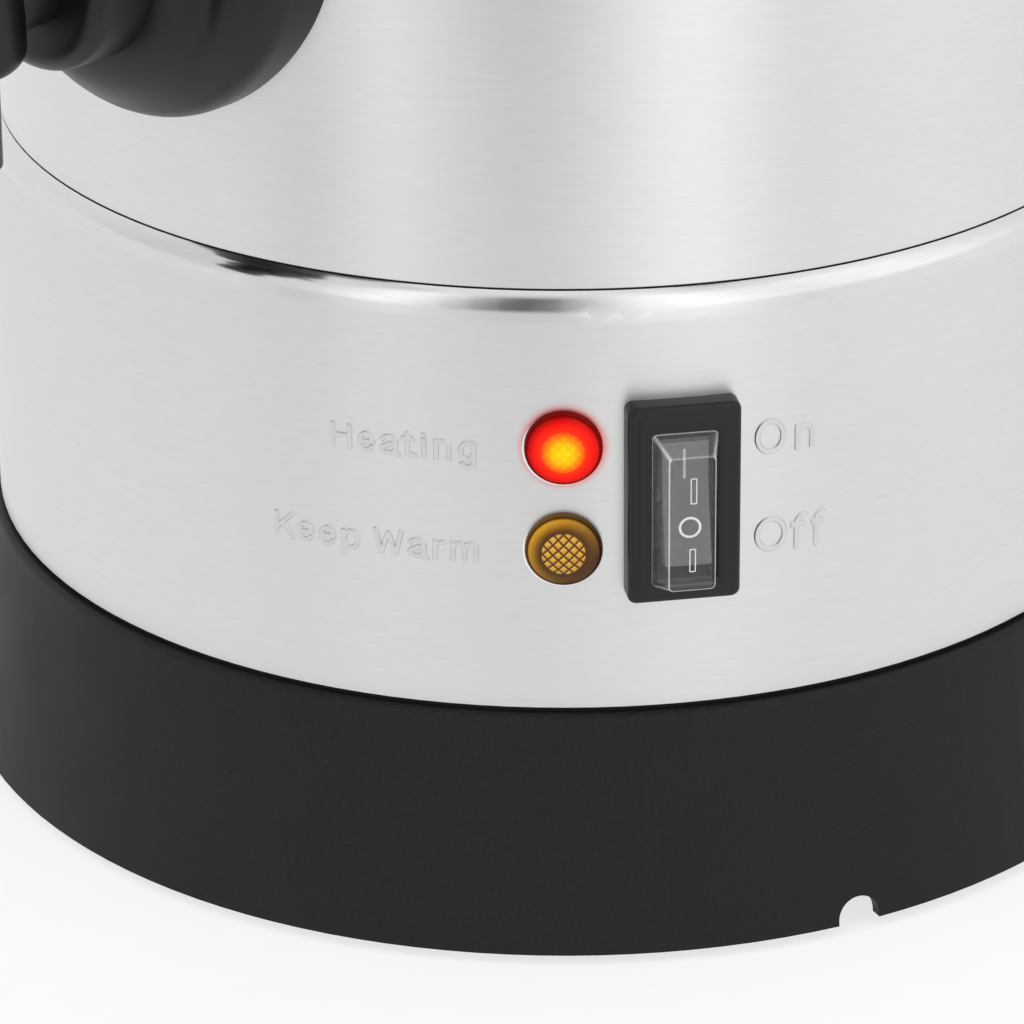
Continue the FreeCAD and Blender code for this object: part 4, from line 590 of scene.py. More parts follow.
class Form:
    """Grids of points that become one mesh."""

    def __init__(self) -> None:
        """Starts empty."""
        self.points: list[np.ndarray] = []
        self.faces: list[np.ndarray] = []
        self.caps: list[list[int]] = []
        self.marks: list[np.ndarray] = []
        self.maps: list[np.ndarray] = []
        self.count = 0

    def grid(self, points: np.ndarray, round_rows: bool = False, round_columns: bool = True,
             mark: np.ndarray | float = 0.0, own_map: np.ndarray | None = None,
             caps: bool = False) -> "Form":
        """Adds a grid of quads.

        Args:
            points: rows by columns by 3, metres.
            round_rows: joins the last row to the first.
            round_columns: joins the last column to the first.
            mark: the "edge" attribute, painted as highlight by the clear plastic: one number, one
                for each row or one for each point.
            own_map: UV pairs for each point.
            caps: closes the first and the last row with a flat face.

        Returns:
            This form.
        """
        rows, columns = points.shape[:2]
        index = np.arange(rows * columns).reshape(rows, columns) + self.count
        wide = np.concatenate([index, index[:, :1]], 1) if round_columns else index
        tall = np.concatenate([wide, wide[:1]], 0) if round_rows else wide
        quads = np.stack([tall[:-1, :-1], tall[:-1, 1:], tall[1:, 1:], tall[1:, :-1]], -1)
        self.faces.append(quads.reshape(-1, 4))
        self.points.append(points.reshape(-1, 3))
        level = np.broadcast_to(mark if np.ndim(mark) == 2 else np.reshape(mark, (-1, 1)),
                                (rows, columns))
        self.marks.append(level.ravel())
        flat = np.zeros((rows, columns, 2)) if own_map is None else own_map
        self.maps.append(flat.reshape(-1, 2))
        if caps:
            self.caps += [index[0].tolist(), index[-1].tolist()]
        self.count += rows * columns
        return self

    def build(self, name: str, sharp: float = 38.0, weld: float = 2e-7) -> bpy.types.Object:
        """Makes the object: doubles merged, faces outward, smooth but for sharp edges.

        Args:
            name: the object's name.
            sharp: the angle in degrees past which an edge stays sharp.
            weld: the distance in metres under which points merge.

        Returns:
            The object.
        """
        points = np.concatenate(self.points)
        faces = np.concatenate(self.faces).tolist() + self.caps
        mesh = bpy.data.meshes.new(name)
        mesh.from_pydata(points, [], faces)
        edge = mesh.attributes.new("edge", "FLOAT", "POINT")
        edge.data.foreach_set("value", np.concatenate(self.marks).astype(np.float32))
        loops = np.zeros(len(mesh.loops), np.int32)
        mesh.loops.foreach_get("vertex_index", loops)
        own = mesh.uv_layers.new(name="own")
        own.uv.foreach_set("vector", np.concatenate(self.maps)[loops].astype(np.float32).ravel())
        shell = bmesh.new()
        shell.from_mesh(mesh)
        bmesh.ops.remove_doubles(shell, verts=shell.verts, dist=weld)
        bmesh.ops.dissolve_degenerate(shell, edges=shell.edges, dist=weld / 2)
        bmesh.ops.recalc_face_normals(shell, faces=shell.faces)
        shell.to_mesh(mesh)
        shell.free()
        mesh.polygons.foreach_set("use_smooth", np.ones(len(mesh.polygons), bool))
        mesh.set_sharp_from_angle(angle=math.radians(sharp))
        made = bpy.data.objects.new(name, mesh)
        bpy.context.scene.collection.objects.link(made)
        return made


def turned(profile: np.ndarray, steps: int = 96) -> np.ndarray:
    """A profile of (radius, height) swept round: (r cos a, r sin a, h) for every angle a."""
    angle = all_round(steps)
    radius, height = profile[:, 0][:, None], profile[:, 1][:, None]
    return np.stack([radius * np.cos(angle), radius * np.sin(angle),
                     np.broadcast_to(height, (len(profile), steps))], -1)


def prism(outline: np.ndarray, half_width: float, edge: float, steps: int = 4) -> np.ndarray:
    """A plate with rounded rims: the outline is inset by e(1 - sin t) where the width ends.

    Args:
        outline: closed outline of (a, b).
        half_width: half of the plate's thickness.
        edge: radius of the rims.
        steps: rings in a rim.

    Returns:
        Rings of (w, a, b).
    """
    turn = np.linspace(0.0, math.pi / 2, steps + 1)
    width = np.concatenate([-half_width + edge * (1 - np.cos(turn)),
                            half_width - edge * (1 - np.cos(turn[::-1]))])
    shrink = edge * (1 - np.sin(np.concatenate([turn, turn[::-1]])))
    rings = [np.column_stack([np.full(len(outline), w), inset(outline, s)])
             for w, s in zip(width, shrink)]
    return np.stack(rings)


def arc(centre: Pair, radius: float | Pair, start: float, end: float,
        steps: int = 8) -> np.ndarray:
    """Points of a circle's or an oval's arc between two angles in degrees."""
    turn = np.radians(np.linspace(start, end, steps + 1))
    return np.array(centre) + np.stack([np.cos(turn), np.sin(turn)], -1) * radius


class Assembly:
    """What the sub-assemblies share: dressing a piece and tying it to the frame."""

    finishes: dict[str, bpy.types.Material] = {}

    def settle(self, piece: bpy.types.Object, body: Body, slot: str, stands_for: Sequence[str] = (),
               finish: str | None = None) -> bpy.types.Object:
        """Gives a piece its finish and ties it to its body.

        Args:
            piece: the finished object.
            body: the body that it moves with.
            slot: the record's material slot.
            stands_for: CAD nodes that it replaces.
            finish: the finish's key, where it isn't the slot's own.

        Returns:
            The piece.
        """
        piece.data.materials.clear()
        piece.data.materials.append(self.finishes[finish or slot])
        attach(piece, body.value)
        if stands_for:
            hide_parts(*stands_for)
        log.info("piece %s: %d faces on %s", piece.name, len(piece.data.polygons), body.value)
        return piece


class Frame(Assembly):
    """The CAD nodes that stay: each gets its slot's finish."""

    def build(self) -> None:
        """Replaces the plain packed materials, node by node."""
        slots = {part["node"]: part["material_slot"] for part in frame["record"]["subparts"]}
        for name, node in frame["nodes"].items():
            node.data.materials.clear()
            node.data.materials.append(self.finishes[slots[name]])
        log.info("dressed %d CAD nodes", len(slots))


@dataclass
class Lamps(Assembly):
    """The two domed signal lamps beside the switch."""

    radius: float = 7.0
    rim: float = 1.1
    dome: float = 2.2
    barrel: float = 5.8
    depth: float = 9.0
    roll: float = 0.45

    def profile(self) -> np.ndarray:
        """(radius, out): a barrel, a rolled rim and a spherical cap on it."""
        seat = BAND + SEAT
        ball = (self.radius ** 2 + self.dome ** 2) / (2 * self.dome)
        inner = self.radius - 0.55
        top = seat + self.rim
        cap_radius = np.linspace(inner, 0.0, 26)
        cap = np.stack([cap_radius, top + self.dome - ball
                        + np.sqrt(ball ** 2 - cap_radius ** 2)], -1)
        rim = arc((self.radius - self.roll, top - self.roll), self.roll, 0.0, 75.0, 6)
        groove = np.array([[inner + 0.18, top - 0.02], [inner + 0.06, top - 0.10]])
        back = np.array([[0.0, BAND - self.depth], [self.barrel - 0.4, BAND - self.depth],
                         [self.barrel, BAND - self.depth + 0.4], [self.barrel, seat],
                         [self.radius, seat]])
        return np.concatenate([back, rim, groove, cap])

    def build(self) -> None:
        """Both lenses, with millimetres from the centre as their own map."""
        for name, spot in (("red", RED_LAMP), ("amber", AMBER_LAMP)):
            local = turned(self.profile(), 72)
            lens = Form().grid(spot.place(local), own_map=local[..., :2])
            piece = lens.build(f"{name}_lens_dome", 50.0)
            self.settle(piece, Body.URN, f"{name}_lens", (f"{name}_lamp_lens",))


@dataclass
class Switch(Assembly):
    """The rocker switch: bezel with its housing, rocker, clear cover and white signs.

    Lengths are millimetres as (across, up, out) at the switch's spot; the clear hood narrows to
    a smaller face that sits a little low and to the right.
    """

    spot: Spot = Spot(53.85, 90.5)
    size: Pair = (20.5, 38.2)
    middle: Pair = (0.0, -0.4)
    proud: float = 4.0
    frame_width: float = 2.9
    shell: float = 1.4
    depth: float = 26.0
    cover_base: Pair = (12.1, 29.9)
    base_centre: Pair = (0.0, -1.25)
    cover_top: Pair = (8.5, 25.95)
    top_centre: Pair = (0.5, -2.43)
    cover_rise: float = 4.2
    cover_wall: float = 0.9
    room_less: float = 1.8
    room_depth: float = 10.5
    brim: float = 1.1
    tilt: float = -8.0
    rocker_half: float = 4.3
    rocker_shift: float = 0.3
    axle_radius: float = 1.2
    axle_half: float = 6.0

    def ring(self, less: float, out: float | None, corner: float, size: Pair | None = None,
             centre: Pair | None = None, radius: float = BAND + SEAT) -> np.ndarray:
        """One ring of a loft.

        Args:
            less: how far it is inset.
            out: its distance from the urn's axis; None lays it on the round wall.
            corner: radius of its corners.
            size: width and height, where they aren't the bezel's.
            centre: its middle, where it isn't the bezel's.
            radius: the wall's radius.

        Returns:
            Points of (across, up, out).
        """
        width, height = size or self.size
        flat = (rounded_rectangle(width / 2 - less, height / 2 - less, corner)
                + np.array(centre or self.middle))
        level = wall_depth(flat[:, 0], radius) if out is None else np.full(len(flat), out)
        return np.column_stack([flat, level])

    def smaller(self, less: float) -> Pair:
        """The bezel's width and height, less twice a border."""
        return self.size[0] - 2 * less, self.size[1] - 2 * less

    def bezel(self) -> None:
        """A closed loft of rings: housing back, flange on the wall, round brim, opening, floor."""
        front, back = BAND + self.proud, BAND - self.depth
        opening = self.smaller(self.frame_width)
        lip = (self.cover_base, self.base_centre)
        room = (tuple(side - self.room_less for side in self.cover_base), self.base_centre)
        rings = [
            self.ring(self.shell + 0.4, back, 0.6),
            self.ring(self.shell, back + 0.4, 1.0),
            self.ring(self.shell, None, 1.0, radius=BAND - 0.6),
            self.ring(self.shell, None, 1.0),
            self.ring(0.0, None, 1.6),
            self.ring(0.0, front - self.brim, 1.6),
        ]
        rings += [self.ring(1.0 - math.cos(t), front - self.brim + math.sin(t), 1.6)
                  for t in np.linspace(0.0, math.pi / 2, 7)[1:]]
        rings += [self.ring(less, front - down, corner, *place)
                  for less, down, corner, place in (
                      (1.9, 0.1, 1.4, ()), (2.05, 0.02, 1.3, ()), (2.3, 0.0, 1.2, ()),
                      (-0.35, 0.0, 1.2, lip), (-0.12, 0.08, 1.0, lip), (-0.10, 0.34, 1.0, lip),
                      (0.0, 0.36, 0.8, (opening,)), (0.0, self.brim, 0.8, (opening,)),
                      (0.0, self.brim, 0.4, room),
                      (0.0, self.proud + self.room_depth, 0.4, room))]
        form = Form().grid(self.spot.place(np.stack(rings)), caps=True)
        self.settle(form.build("switch_bezel", 32.0), Body.URN, "switch_plastic",
                    ("switch_housing",))

    def face(self, up: np.ndarray) -> np.ndarray:
        """The rocker's face above its axle: 3.4 mm in the middle and 1.2 mm more at its ends."""
        return 3.4 + 1.2 * (np.abs(up) / 12.4) ** 1.6

    def tilted(self, local: np.ndarray) -> np.ndarray:
        """Turns points about the axle by the rocker's rest tilt."""
        t = math.radians(self.tilt)
        up, out = local[..., 1], local[..., 2]
        return np.stack([local[..., 0], up * math.cos(t) - out * math.sin(t),
                         up * math.sin(t) + out * math.cos(t) + BAND], -1)

    def rocker(self) -> None:
        """A plate whose outline is the dished face, round ends and a keel round the axle."""
        up = np.linspace(10.9, -12.0, 41)
        top = np.stack([up, self.face(up)], -1)
        lower = rounded_corners([(-12.4, 3.9), (-12.35, 1.4), (-2.4, -2.4), (2.4, -2.4),
                                 (11.25, 1.4), (11.3, 3.7)], [0.3, 0.8, 1.0, 1.0, 0.8, 0.3], 4)
        plate = (prism(np.concatenate([top, lower]), self.rocker_half, 0.45)
                 + np.array([self.rocker_shift, 0.0, 0.0]))
        form = Form().grid(self.spot.place(self.tilted(plate)), caps=True)
        circle = np.stack([np.cos(all_round(24)), np.sin(all_round(24))], -1) * self.axle_radius
        axle = np.stack([np.column_stack([np.full(24, end), circle + np.array([0.0, BAND])])
                         for end in (-self.axle_half, self.axle_half)])
        form.grid(self.spot.place(axle), caps=True)
        self.settle(form.build("rocker_paddle", 40.0), Body.ROCKER, "rocker_plastic",
                    ("switch_rocker",))

    def strip(self, path: np.ndarray, width: float, closed: bool) -> np.ndarray:
        """A thin printed line: its path with both rims off by half its width.

        Args:
            path: points of (across, up).
            width: the line's width.
            closed: whether the line closes.

        Returns:
            Four rows of (across, up, lift): both rims just under the surface and just above it.
        """
        along = (np.roll(path, -1, axis=0) - np.roll(path, 1, axis=0) if closed
                 else np.gradient(path, axis=0))
        normal = np.stack([-along[:, 1], along[:, 0]], -1)
        normal /= np.linalg.norm(normal, axis=1, keepdims=True)
        return np.stack([np.column_stack([path + normal * width * side, np.full(len(path), lift)])
                         for side, lift in ((0.5, -0.02), (0.5, 0.035), (-0.5, 0.035),
                                            (-0.5, -0.02))])

    def signs(self) -> None:
        """A line printed on the rocker; a ring and two hollow bars on the hood's face."""
        line = np.stack([np.full(16, 0.02), np.linspace(9.5, 3.85, 16)], -1)
        on_rocker = self.strip(line, 0.5, False)
        on_rocker[..., 2] += self.face(on_rocker[..., 1])
        form = Form().grid(self.spot.place(self.tilted(on_rocker)), round_rows=True,
                           round_columns=False)
        self.settle(form.build("rocker_line"), Body.ROCKER, "rocker_plastic", (), "rocker_print")
        turn = all_round(48)
        ring = np.stack([1.83 * np.cos(turn) + 0.04, 1.83 * np.sin(turn) - 2.92], -1)
        shapes = [self.strip(ring, 0.45, True)]
        for across, middle, reach in ((0.70, 4.06, 2.51), (0.54, -9.46, 2.27)):
            frame_line = rounded_rectangle(0.50, reach - 0.1, 0.06, 2)
            corners = np.concatenate([np.linspace(a, b, 5, endpoint=False) for a, b in
                                      zip(frame_line, np.roll(frame_line, -1, axis=0))])
            shapes.append(self.strip(corners + np.array([across, middle]), 0.2, True))
        form = Form()
        for rows in shapes:
            rows[..., 2] += BAND + self.proud + self.cover_rise
            form.grid(self.spot.place(rows), round_rows=True)
        self.settle(form.build("hood_signs"), Body.URN, "clear_cover", (), "print")

    def slope(self, share: float, out: float, less: float, corner: float) -> np.ndarray:
        """A ring of the hood's sides: its base and its face mixed by the share of the way up."""
        size, centre = (tuple(a + (b - a) * share for a, b in zip(low, high)) for low, high in
                        ((self.cover_base, self.cover_top), (self.base_centre, self.top_centre)))
        return self.ring(less, out, corner, size, centre)

    def cover(self) -> None:
        """A clear hood: flange, sloping sides and a smaller flat face, with an inside offset.

        The "edge" attribute, the strength of the painted highlight, is strong round the face,
        weaker down the four sloping corners and dim along the face's upper edge.
        """
        front = BAND + self.proud
        peak = front + self.cover_rise
        flange = self.smaller(self.frame_width + 0.2)
        corners = np.tile(np.sin(np.linspace(0.0, math.pi, CORNER_POINTS)) ** 3, 4)
        count = len(corners)
        dim = np.ones(count)
        dim[4:10] = 0.4
        rings = [
            (self.slope(0.0, front - self.brim, self.cover_wall, 0.5), 0.0),
            (self.ring(0.0, front - self.brim, 0.7, flange), 0.0),
            (self.ring(0.0, front - 0.5, 0.7, flange), 0.0),
            (self.ring(0.12, front - 0.4, 0.65, flange), 0.0),
            (self.slope(0.0, front - 0.4, 0.0, 1.0), 0.0),
            (self.slope(0.0, front + 0.02, 0.0, 0.95), 0.10),
            (self.slope(0.01, front + 0.16, 0.0, 0.95), 0.48),
            (self.slope(0.06, front + 0.36, 0.0, 0.95), 0.02 + 0.30 * corners),
            (self.slope(0.93, peak - 0.34, 0.0, 0.95), 0.02 + 0.60 * corners),
            (self.slope(0.985, peak - 0.12, 0.0, 0.9), 0.45 * dim + 0.3 * corners),
            (self.slope(1.0, peak - 0.02, 0.07, 0.8), 0.95 * dim),
            (self.slope(1.0, peak, 0.22, 0.7), 0.0),
        ]
        marks = np.stack([np.broadcast_to(mark, (count,)) for _, mark in rings])
        form = Form()
        form.grid(self.spot.place(np.stack([ring for ring, _ in rings])), mark=marks)
        form.caps.append(list(range(form.count - count, form.count)))
        inner = [self.slope(0.0, front - self.brim, self.cover_wall, 0.5),
                 self.slope(0.0, front + 0.4, self.cover_wall, 0.5),
                 self.slope(1.0, peak - 0.85, 0.5, 0.4)]
        form.grid(self.spot.place(np.stack(inner)))
        form.caps.append(list(range(form.count - count, form.count)))
        self.settle(form.build("clear_hood", 25.0), Body.URN, "clear_cover", ("switch_cover",))

    def build(self) -> None:
        """All of the switch."""
        self.bezel()
        self.rocker()
        self.signs()
        self.cover()


@dataclass
class Lettering(Assembly):
    """Words pressed out of the steel band, as low letters with soft rims.

    A letter is a set of strokes.  Where d is the distance from a point to the nearest stroke's
    rim, negative inside, the letter stands raised * s(1/2 - d / (2 rim)) proud, with the smooth
    step s(t) = t^2 (3 - 2t).  A point at (along, up, out) goes to the wall at the angle
    along / radius, so the words follow the round wall.
    """

    raised: float = 0.30
    rim: float = 0.13
    pitch: float = 0.1
    sunk: float = 0.10
    root: float = 0.35
    drop: float = 1.35
    margin: float = 0.45
    front: float = 43.5

    def bar(self, *points: Pair) -> np.ndarray:
        """A polyline from its points."""
        return np.array(points, float)

    def strokes(self, letter: str, wide: float, tall: float, low: float,
                half: float) -> list[np.ndarray]:
        """The centre lines of a letter's strokes.

        Args:
            letter: which one.
            wide: its width between the outer rims.
            tall: height of the capitals.
            low: height of the small letters.
            half: half of a stroke's width.

        Returns:
            Polylines; one of two points is a bar with square ends.
        """
        bar = self.bar
        left, right, mid = half, wide - half, wide / 2
        top, x_top = tall - half, low - half + 0.04
        rx, ry = mid - half, low / 2 - half + 0.05
        feet = (wide * 0.27, wide * 0.73)
        t_stem, f_stem = wide * 0.42, wide * 0.40
        hook = wide - f_stem
        half_w = (right - left) / 4
        bend = half_w * 0.95
        stem = bar((left, 0), (left, low))
        bowl = arc((mid, low / 2), (rx, ry), 0, 360, 36)
        return {
            "H": [bar((left, 0), (left, tall)), bar((right, 0), (right, tall)),
                  bar((left, tall * 0.53), (right, tall * 0.53))],
            "K": [bar((left, 0), (left, tall)), bar((left + 0.2, tall * 0.36), (right, tall)),
                  bar((wide * 0.42, tall * 0.55), (right + 0.05, 0))],
            "W": [bar((left, tall), (feet[0], 0.1)), bar((feet[0], 0.1), (mid, top)),
                  bar((mid, top), (feet[1], 0.1)), bar((feet[1], 0.1), (right, tall))],
            "O": [arc((mid, tall / 2), (rx, tall / 2 - half + 0.07), 0, 360, 48)],
            "e": [bar((left, low * 0.52), (right, low * 0.52)),
                  arc((mid, low / 2), (rx, ry), 2, 322, 32)],
            "a": [np.concatenate([arc((mid, low * 0.64), (rx, low * 0.36 - half + 0.05),
                                      158, 0, 14), bar((right, 0.1), (wide, 0.1))]),
                  np.concatenate([bar((right, low * 0.55), (mid, low * 0.55)),
                                  arc((mid - 0.1, low * 0.29),
                                      (rx - 0.1, low * 0.27 - half + 0.1), 90, 330, 16),
                                  bar((right, low * 0.30))])],
            "t": [np.concatenate([bar((t_stem, low * 1.14), (t_stem, low * 0.3)),
                                  arc((t_stem + 0.7, 0.75), (0.7, 0.75 - half), 180, 285, 8),
                                  bar((wide - half * 0.6, half * 1.1))]),
                  bar((0, x_top), (wide * 0.86, x_top))],
            "i": [bar((mid, 0), (mid, low)), bar((mid, tall - 0.75), (mid, tall))],
            "n": [stem, bar((right, 0), (right, x_top - rx * 0.9)),
                  arc((mid, x_top - rx * 0.9), (rx, rx * 0.9), 0, 180, 18)],
            "m": [stem, bar((mid, 0), (mid, x_top - bend)), bar((right, 0), (right, x_top - bend)),
                  arc((left + half_w, x_top - bend), (half_w, bend), 0, 180, 18),
                  arc((mid + half_w, x_top - bend), (half_w, bend), 0, 180, 18)],
            "r": [stem, arc((wide, x_top - 1.25), (wide - left, 1.25), 180, 92, 12)],
            "p": [bar((left, -self.drop), (left, low)), bowl],
            "g": [bar((right, 0.2), (right, low)), bowl,
                  arc((mid, 0.0), (rx, 1.45 - half), 0, -150, 14)],
            "f": [np.concatenate([bar((f_stem, 0)),
                                  arc((f_stem + hook, top - hook * 0.9), (hook, hook * 0.9),
                                      180, 98, 12)]),
                  bar((0, low - half + 0.1), (wide, low - half + 0.1))],
        }[letter]

    def distance(self, spots: np.ndarray, stroke: np.ndarray, half: float) -> np.ndarray:
        """Distance from points to a stroke's rim.

        A bar is a rectangle: with (u, v) = (|along|, |off|) less its half sizes, the distance is
        the length of (u, v) above zero plus max(u, v) below it.  A curved stroke is the least
        distance to its pieces, less half the stroke's width.
        """
        start, step = stroke[:-1], np.diff(stroke, axis=0)
        length = np.maximum(np.linalg.norm(step, axis=1), 1e-9)
        away = spots[..., None, :] - start
        if len(stroke) == 2:
            along = (away * step).sum(-1) / length - length / 2
            off = away[..., 0] * step[:, 1] / length - away[..., 1] * step[:, 0] / length
            u, v = np.abs(along) - length / 2, np.abs(off) - half
            return (np.hypot(np.maximum(u, 0), np.maximum(v, 0))
                    + np.minimum(np.maximum(u, v), 0))[..., 0]
        share = np.clip((away * step).sum(-1) / length ** 2, 0.0, 1.0)
        return np.linalg.norm(away - share[..., None] * step, axis=-1).min(-1) - half

    def word(self, name: str, letters: Sequence[tuple[str, float, float]], base: float,
             tall: float, low: float, half: float) -> None:
        """One word.

        Args:
            name: the piece's name.
            letters: each letter with its left and right rims, millimetres along the band from
                the camera's direction.
            base: height of its base line above the table.
            tall: height of its capitals.
            low: height of its small letters.
            half: half of a stroke's width.
        """
        edge = self.margin
        along = np.arange(letters[0][1] - edge, letters[-1][2] + edge, self.pitch)
        up = np.arange(-self.drop - edge, tall + edge, self.pitch)
        gap = np.full((len(up), len(along)), 9.0)
        for letter, start, end in letters:
            near = np.nonzero((along > start - edge) & (along < end + edge))[0]
            spots = np.stack(np.meshgrid(along[near] - start, up), -1)
            for stroke in self.strokes(letter, end - start, tall, low, half):
                gap[:, near] = np.minimum(gap[:, near], self.distance(spots, stroke, half))
        share = np.clip(0.5 - gap / (2 * self.rim), 0.0, 1.0)
        proud = (self.raised + self.sunk) * share ** 2 * (3 - 2 * share) - self.sunk
        angle = np.radians(self.front) + along[None, :] / BAND
        height = base + up[:, None] + 0.0 * proud
        layers = []
        for out in (BAND + proud, np.full_like(proud, BAND - self.root)):
            layers.append(np.stack([out * np.sin(angle), -out * np.cos(angle), height], -1) * MM)
        points = np.concatenate([layer.reshape(-1, 3) for layer in layers])
        index = np.arange(gap.size).reshape(gap.shape)
        cells = np.stack([index[:-1, :-1], index[:-1, 1:], index[1:, 1:], index[1:, :-1]],
                         -1).reshape(-1, 4)
        cells = cells[gap.ravel()[cells].min(-1) < self.rim]
        sides = np.concatenate([cells[:, [k, (k + 1) % 4]] for k in range(4)])
        _, first, count = np.unique(np.sort(sides, 1), axis=0, return_index=True,
                                    return_counts=True)
        open_sides = sides[first[count == 1]]
        walls = np.column_stack([open_sides[:, ::-1], open_sides + gap.size])
        form = Form()
        form.points, form.faces = [points], [cells, cells[:, ::-1] + gap.size, walls]
        form.marks, form.maps = [np.zeros(len(points))], [np.zeros((len(points), 2))]
        # painted shade: the letters take a darker copy of the band's steel
        self.settle(form.build(name, 70.0), Body.URN, "band_steel", (), "letter_steel_painted_shade")

    def build(self) -> None:
        """The four words, which only say what the lamps and the switch do."""
        self.word("word_heating", (("H", -43.38, -39.35), ("e", -38.27, -34.97),
                                   ("a", -34.05, -30.62), ("t", -30.07, -27.2),
                                   ("i", -26.33, -25.39), ("n", -24.06, -20.89),
                                   ("g", -19.59, -16.35)), 97.0, 5.0, 4.0, 0.44)
        self.word("word_keep_warm", (("K", -55.29, -51.07), ("e", -50.59, -47.21),
                                     ("e", -46.23, -42.82), ("p", -41.75, -38.1),
                                     ("W", -35.69, -29.8), ("a", -29.12, -25.66),
                                     ("r", -24.45, -22.37), ("m", -21.22, -16.08)),
                  77.3, 5.0, 3.9, 0.43)
        self.word("word_on", (("O", 33.83, 39.72), ("n", 41.5, 45.33)), 96.35, 6.75, 4.9, 0.50)
        self.word("word_off", (("O", 33.94, 40.21), ("f", 40.86, 43.81), ("f", 44.91, 47.46)),
                  77.1, 6.75, 4.9, 0.50)


@dataclass
class Seam(Assembly):
    """The thin dark line between band and vessel, turned in many fine steps."""

    level: float = 129.3
    gap: float = 0.36

    def build(self) -> None:
        """A seal ring, and the vessel's foot as a thin skin that runs out up the wall."""
        low = self.level
        foot = low + self.gap
        seal = np.array([(107.6, low - 0.02), (108.9, low - 0.02), (108.9, foot + 0.1),
                         (107.6, foot + 0.1)])
        piece = Form().grid(turned(seal, 360) * MM, round_rows=True)
        self.settle(piece.build("seam_ring", 40.0), Body.URN, "seal_rubber", ("seam_seal",))
        skin = np.array([(108.6, foot), (VESSEL - 0.10, foot), (VESSEL - 0.02, foot + 0.03),
                         (VESSEL + 0.02, foot + 0.10), (VESSEL + 0.025, foot + 0.25),
                         (VESSEL + 0.025, foot + 1.6), (VESSEL - 0.03, foot + 4.6),
                         (108.9, foot + 4.6)])
        piece = Form().grid(turned(skin, 480) * MM, round_rows=True)
        self.settle(piece.build("vessel_foot", 40.0), Body.URN, "vessel_steel")


@dataclass
class Shield(Assembly):
    """The tap's black shield: a round flange with a broad bulge that swells out of it.

    Both are discs with a rounded front edge; at the distance r from its middle a disc's front
    stands depth - edge + sqrt(edge^2 - (r - (radius - edge))^2) out of the vessel.  They are
    joined by (a + b + sqrt((a - b)^2 + k^2)) / 2, which is a soft "larger of the two"; k is left
    out past "rim_share" of the radius.  "fall" is the slope beyond a disc's rim.
    """

    spot: Spot = Spot(0.0, 193.7)
    radius: float = 41.0
    depth: float = 10.0
    edge: float = 9.0
    bulge_drop: float = 8.7
    bulge_radius: float = 29.5
    bulge_depth: float = 15.5
    bulge_edge: float = 12.5
    soft: float = 1.2
    sunk: float = 0.6
    fall: float = 4.0
    rim_share: float = 0.97

    def front(self, far: np.ndarray, radius: float, depth: float, edge: float) -> np.ndarray:
        """A disc's front at a distance from its middle; it falls off steeply past its rim."""
        into = np.clip((far - (radius - edge)) / edge, 0.0, 1.0)
        return (depth - edge + edge * np.sqrt(1.0 - into ** 2)
                - np.maximum(far - radius, 0.0) * self.fall)

    def build(self) -> None:
        """A polar grid from the middle to the rim, down to the wall and closed behind it."""
        turn = all_round(160)
        share = np.sin(np.linspace(0.0, math.pi / 2, 44))
        far = np.maximum(share, 1e-3)[:, None] * self.radius
        across, up = far * np.cos(turn), far * np.sin(turn)
        low = self.front(far + 0 * turn, self.radius, self.depth, self.edge)
        bulge = self.front(np.hypot(across, up + self.bulge_drop), self.bulge_radius,
                           self.bulge_depth, self.bulge_edge)
        gap, soft = np.abs(low - bulge), np.hypot(low - bulge, self.soft)
        rise = (low + bulge + np.where(share[:, None] > self.rim_share, gap, soft)) / 2
        rows = np.stack([across, up, VESSEL + rise], -1)
        closing = rows[-1] * np.array([[[1.0, 1.0, 1.0]], [[0.6, 0.6, 1.0]]])
        closing[..., 2] = wall_depth(closing[..., 0], VESSEL - self.sunk)
        local = np.concatenate([rows, closing])
        form = Form().grid(self.spot.place(local), caps=True)
        self.settle(form.build("tap_shield", 50.0), Body.URN, "tap_plastic", ("tap_rosette",))


@dataclass
class Knob(Assembly):
    """The lid's knob, turned with a waist and a crowned top."""

    foot: float = 393.95
    height: float = 27.0

    def build(self) -> None:
        """A profile through a flared foot, a waist, a round rim and a shallow crown."""
        z = self.foot
        foot = arc((10.8, z + 1.2), 1.2, -90.0, 0.0, 5)
        waist_turn = np.linspace(0.0, 1.0, 15)[1:-1]
        waist = np.stack([12.0 - 4.2 * np.sin(waist_turn * math.pi) ** 0.8 * (1 - 0.25 * waist_turn)
                          + 1.5 * waist_turn, z + 1.2 + waist_turn * 8.6], -1)
        under = np.array([[15.0, z + 10.4], [18.0, z + 11.3]])
        lower = arc((18.6, z + 13.7), 2.4, -75.0, 0.0, 6)
        upper = arc((16.0, z + self.height - 6.6), 5.0, 0.0, 76.0, 10)
        crown_r = np.linspace(16.6, 0.0, 16)
        crown = np.stack([crown_r, z + self.height - 1.7 * (crown_r / 16.6) ** 2], -1)
        profile = np.concatenate([[[0.0, z]], foot, waist, under, lower, upper, crown])
        piece = Form().grid(turned(profile, 96) * MM).build("knob_crowned", 40.0)
        self.settle(piece, Body.LID, "knob_plastic", ("lid_knob",))


